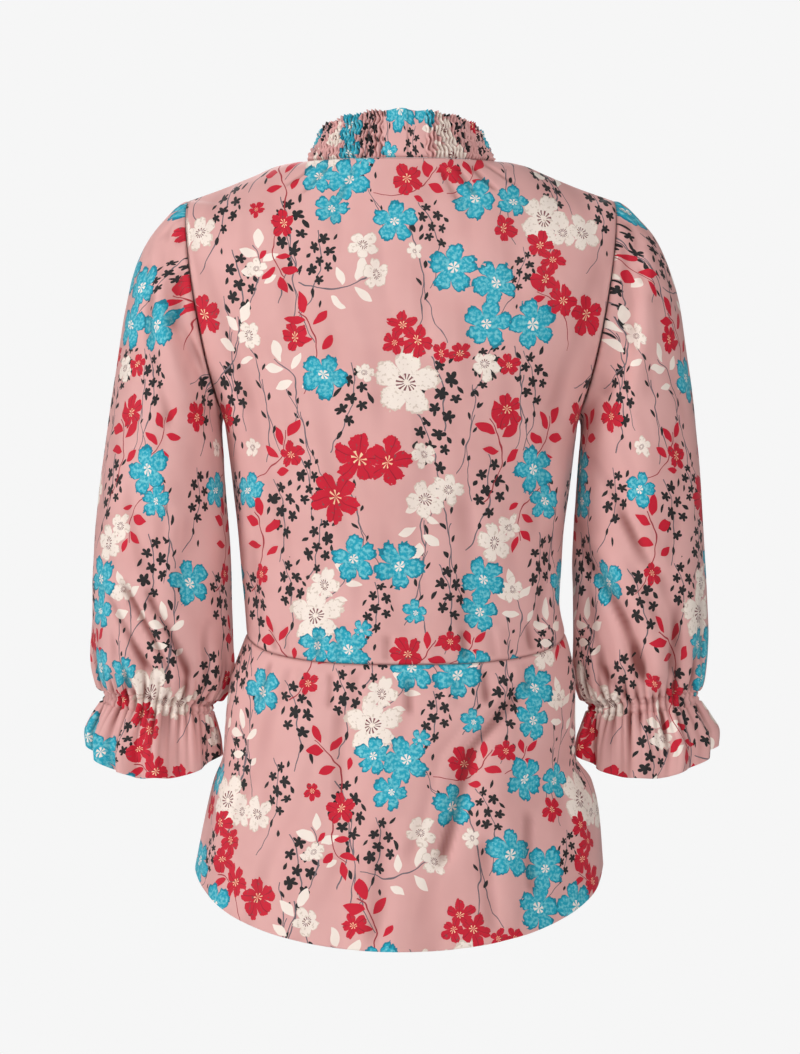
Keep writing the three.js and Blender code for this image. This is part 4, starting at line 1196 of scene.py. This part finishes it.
collar_columns = COLLAR_GATHERS * POINTS_PER_GATHER
share, turn = np.meshgrid(
    np.concatenate([[0, 0.02, 0.045], np.linspace(0.08, 1, 34)]),
    np.linspace(-np.pi / 2, 1.5 * np.pi, collar_columns, endpoint=False),
    indexing="ij",
)
collar_points = mix(neck_point(turn), collar_top(turn), share[..., None])
collar_normal = -grid_normals(collar_points[::-1], True)[::-1]
height = distance_along(collar_points, 0)
x_here = collar_points[..., 0]
at_back = collar_points[..., 1] > 0
plain = smooth_step(PLAIN_FROM_X - 2, PLAIN_FROM_X, x_here) * at_back
plain = plain * (1 - smooth_step(PLAIN_TO_X, PLAIN_TO_X + 2, x_here))
held = sum(bell((share - row) / ELASTIC_SHARE) for row in ELASTIC_HEIGHTS)
sway = 0.9 * np.sin(9 * share + 7 * turn) + 0.9 * np.sin(24 * share + 3.3 * np.sin(5 * turn))
sway += 0.6 * np.sin(31 * turn + 17 * share)
gather = np.abs(np.cos(COLLAR_GATHERS / 2 * turn + 0.75 * sway))
uneven = 0.9 + 0.4 * np.sin(23 * turn + 4 * np.sin(6 * turn)) * np.sin(11 * share + 9 * turn)
uneven += 0.25 * np.sin(57 * turn + 19 * share)
stand = mix(GATHER_ON_ELASTIC, GATHER_BETWEEN, np.clip(1 - held, 0, 1)) * smooth_step(0, 0.06, share) * uneven
stand = stand * mix(1, TOP_FRILL_GAIN, smooth_step(ELASTIC_HEIGHTS[-1], 1, share))
collar_push = stand * (gather ** 1.5 - 0.5) * (1 - plain)
collar_push += plain * smooth_step(1, 6, height) * smooth_step(OVERLAP_X - 0.5, OVERLAP_X + 0.5, x_here)
# Painted shade for the collar's gathers and neck seam, stronger than the gathers' own depth gives.
collar_painted_shade = painted_crease_shade(COLLAR_PAINTED_SHADE_GAIN * collar_push, COLLAR_WINDOW, seam_dip(height))
collar_push += seam_dip(height) * COLLAR_SEAM_GAIN
collar_points = collar_points + collar_push[..., None] * collar_normal
ring_here = collar_points[MEASURED_ROW, :, :2]
around = np.linalg.norm(np.diff(ring_here, axis=0, append=ring_here[:1]), axis=-1).sum()
smooth_around = np.linspace(0, 1, collar_columns + 1) * NECK_LENGTH
collar_u = np.repeat((smooth_around - NECK_LENGTH / 2)[None] * COLLAR_FULLNESS, len(share), 0)
collar_v = np.concatenate([height, height[:, :1]], 1) + 12
collar = cloth_piece("collar_cloth", collar_points, collar_u, collar_v, 1, collar_painted_shade, closed=True)
print(f"collar: {around:.0f} mm round along its gathers")

# %% [markdown]
# ## What each piece stands for
# Every cloth piece replaces its rigid solid in the picture. A table lists how large each was cut, how it is
# held and what it rests on.

BODICE = ["back_bodice_cloth", "front_bodice_cloth"]
CUTS = (
    (back_bodice, "back_bodice", 0.42, 0.46, 0.165, "hung", []),
    (front_bodice, "front_bodice", 0.42, 0.44, 0.160, "hung", []),
    (back_peplum, "back_peplum", 0.46, 0.28, 0.096, "hung", ["back_bodice_cloth"]),
    (front_peplum, "front_peplum", 0.46, 0.28, 0.097, "hung", ["front_bodice_cloth"]),
    (collar, "collar", 0.80, 0.046, 0.0350, "gathered", BODICE),
    (left_sleeve, "left_sleeve", 0.44, 0.50, 0.160, "gathered", BODICE),
    (right_sleeve, "right_sleeve", 0.44, 0.50, 0.160, "gathered", BODICE),
)
for piece, node, width, length, area, held_by, rests_on in CUTS:
    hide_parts(node)
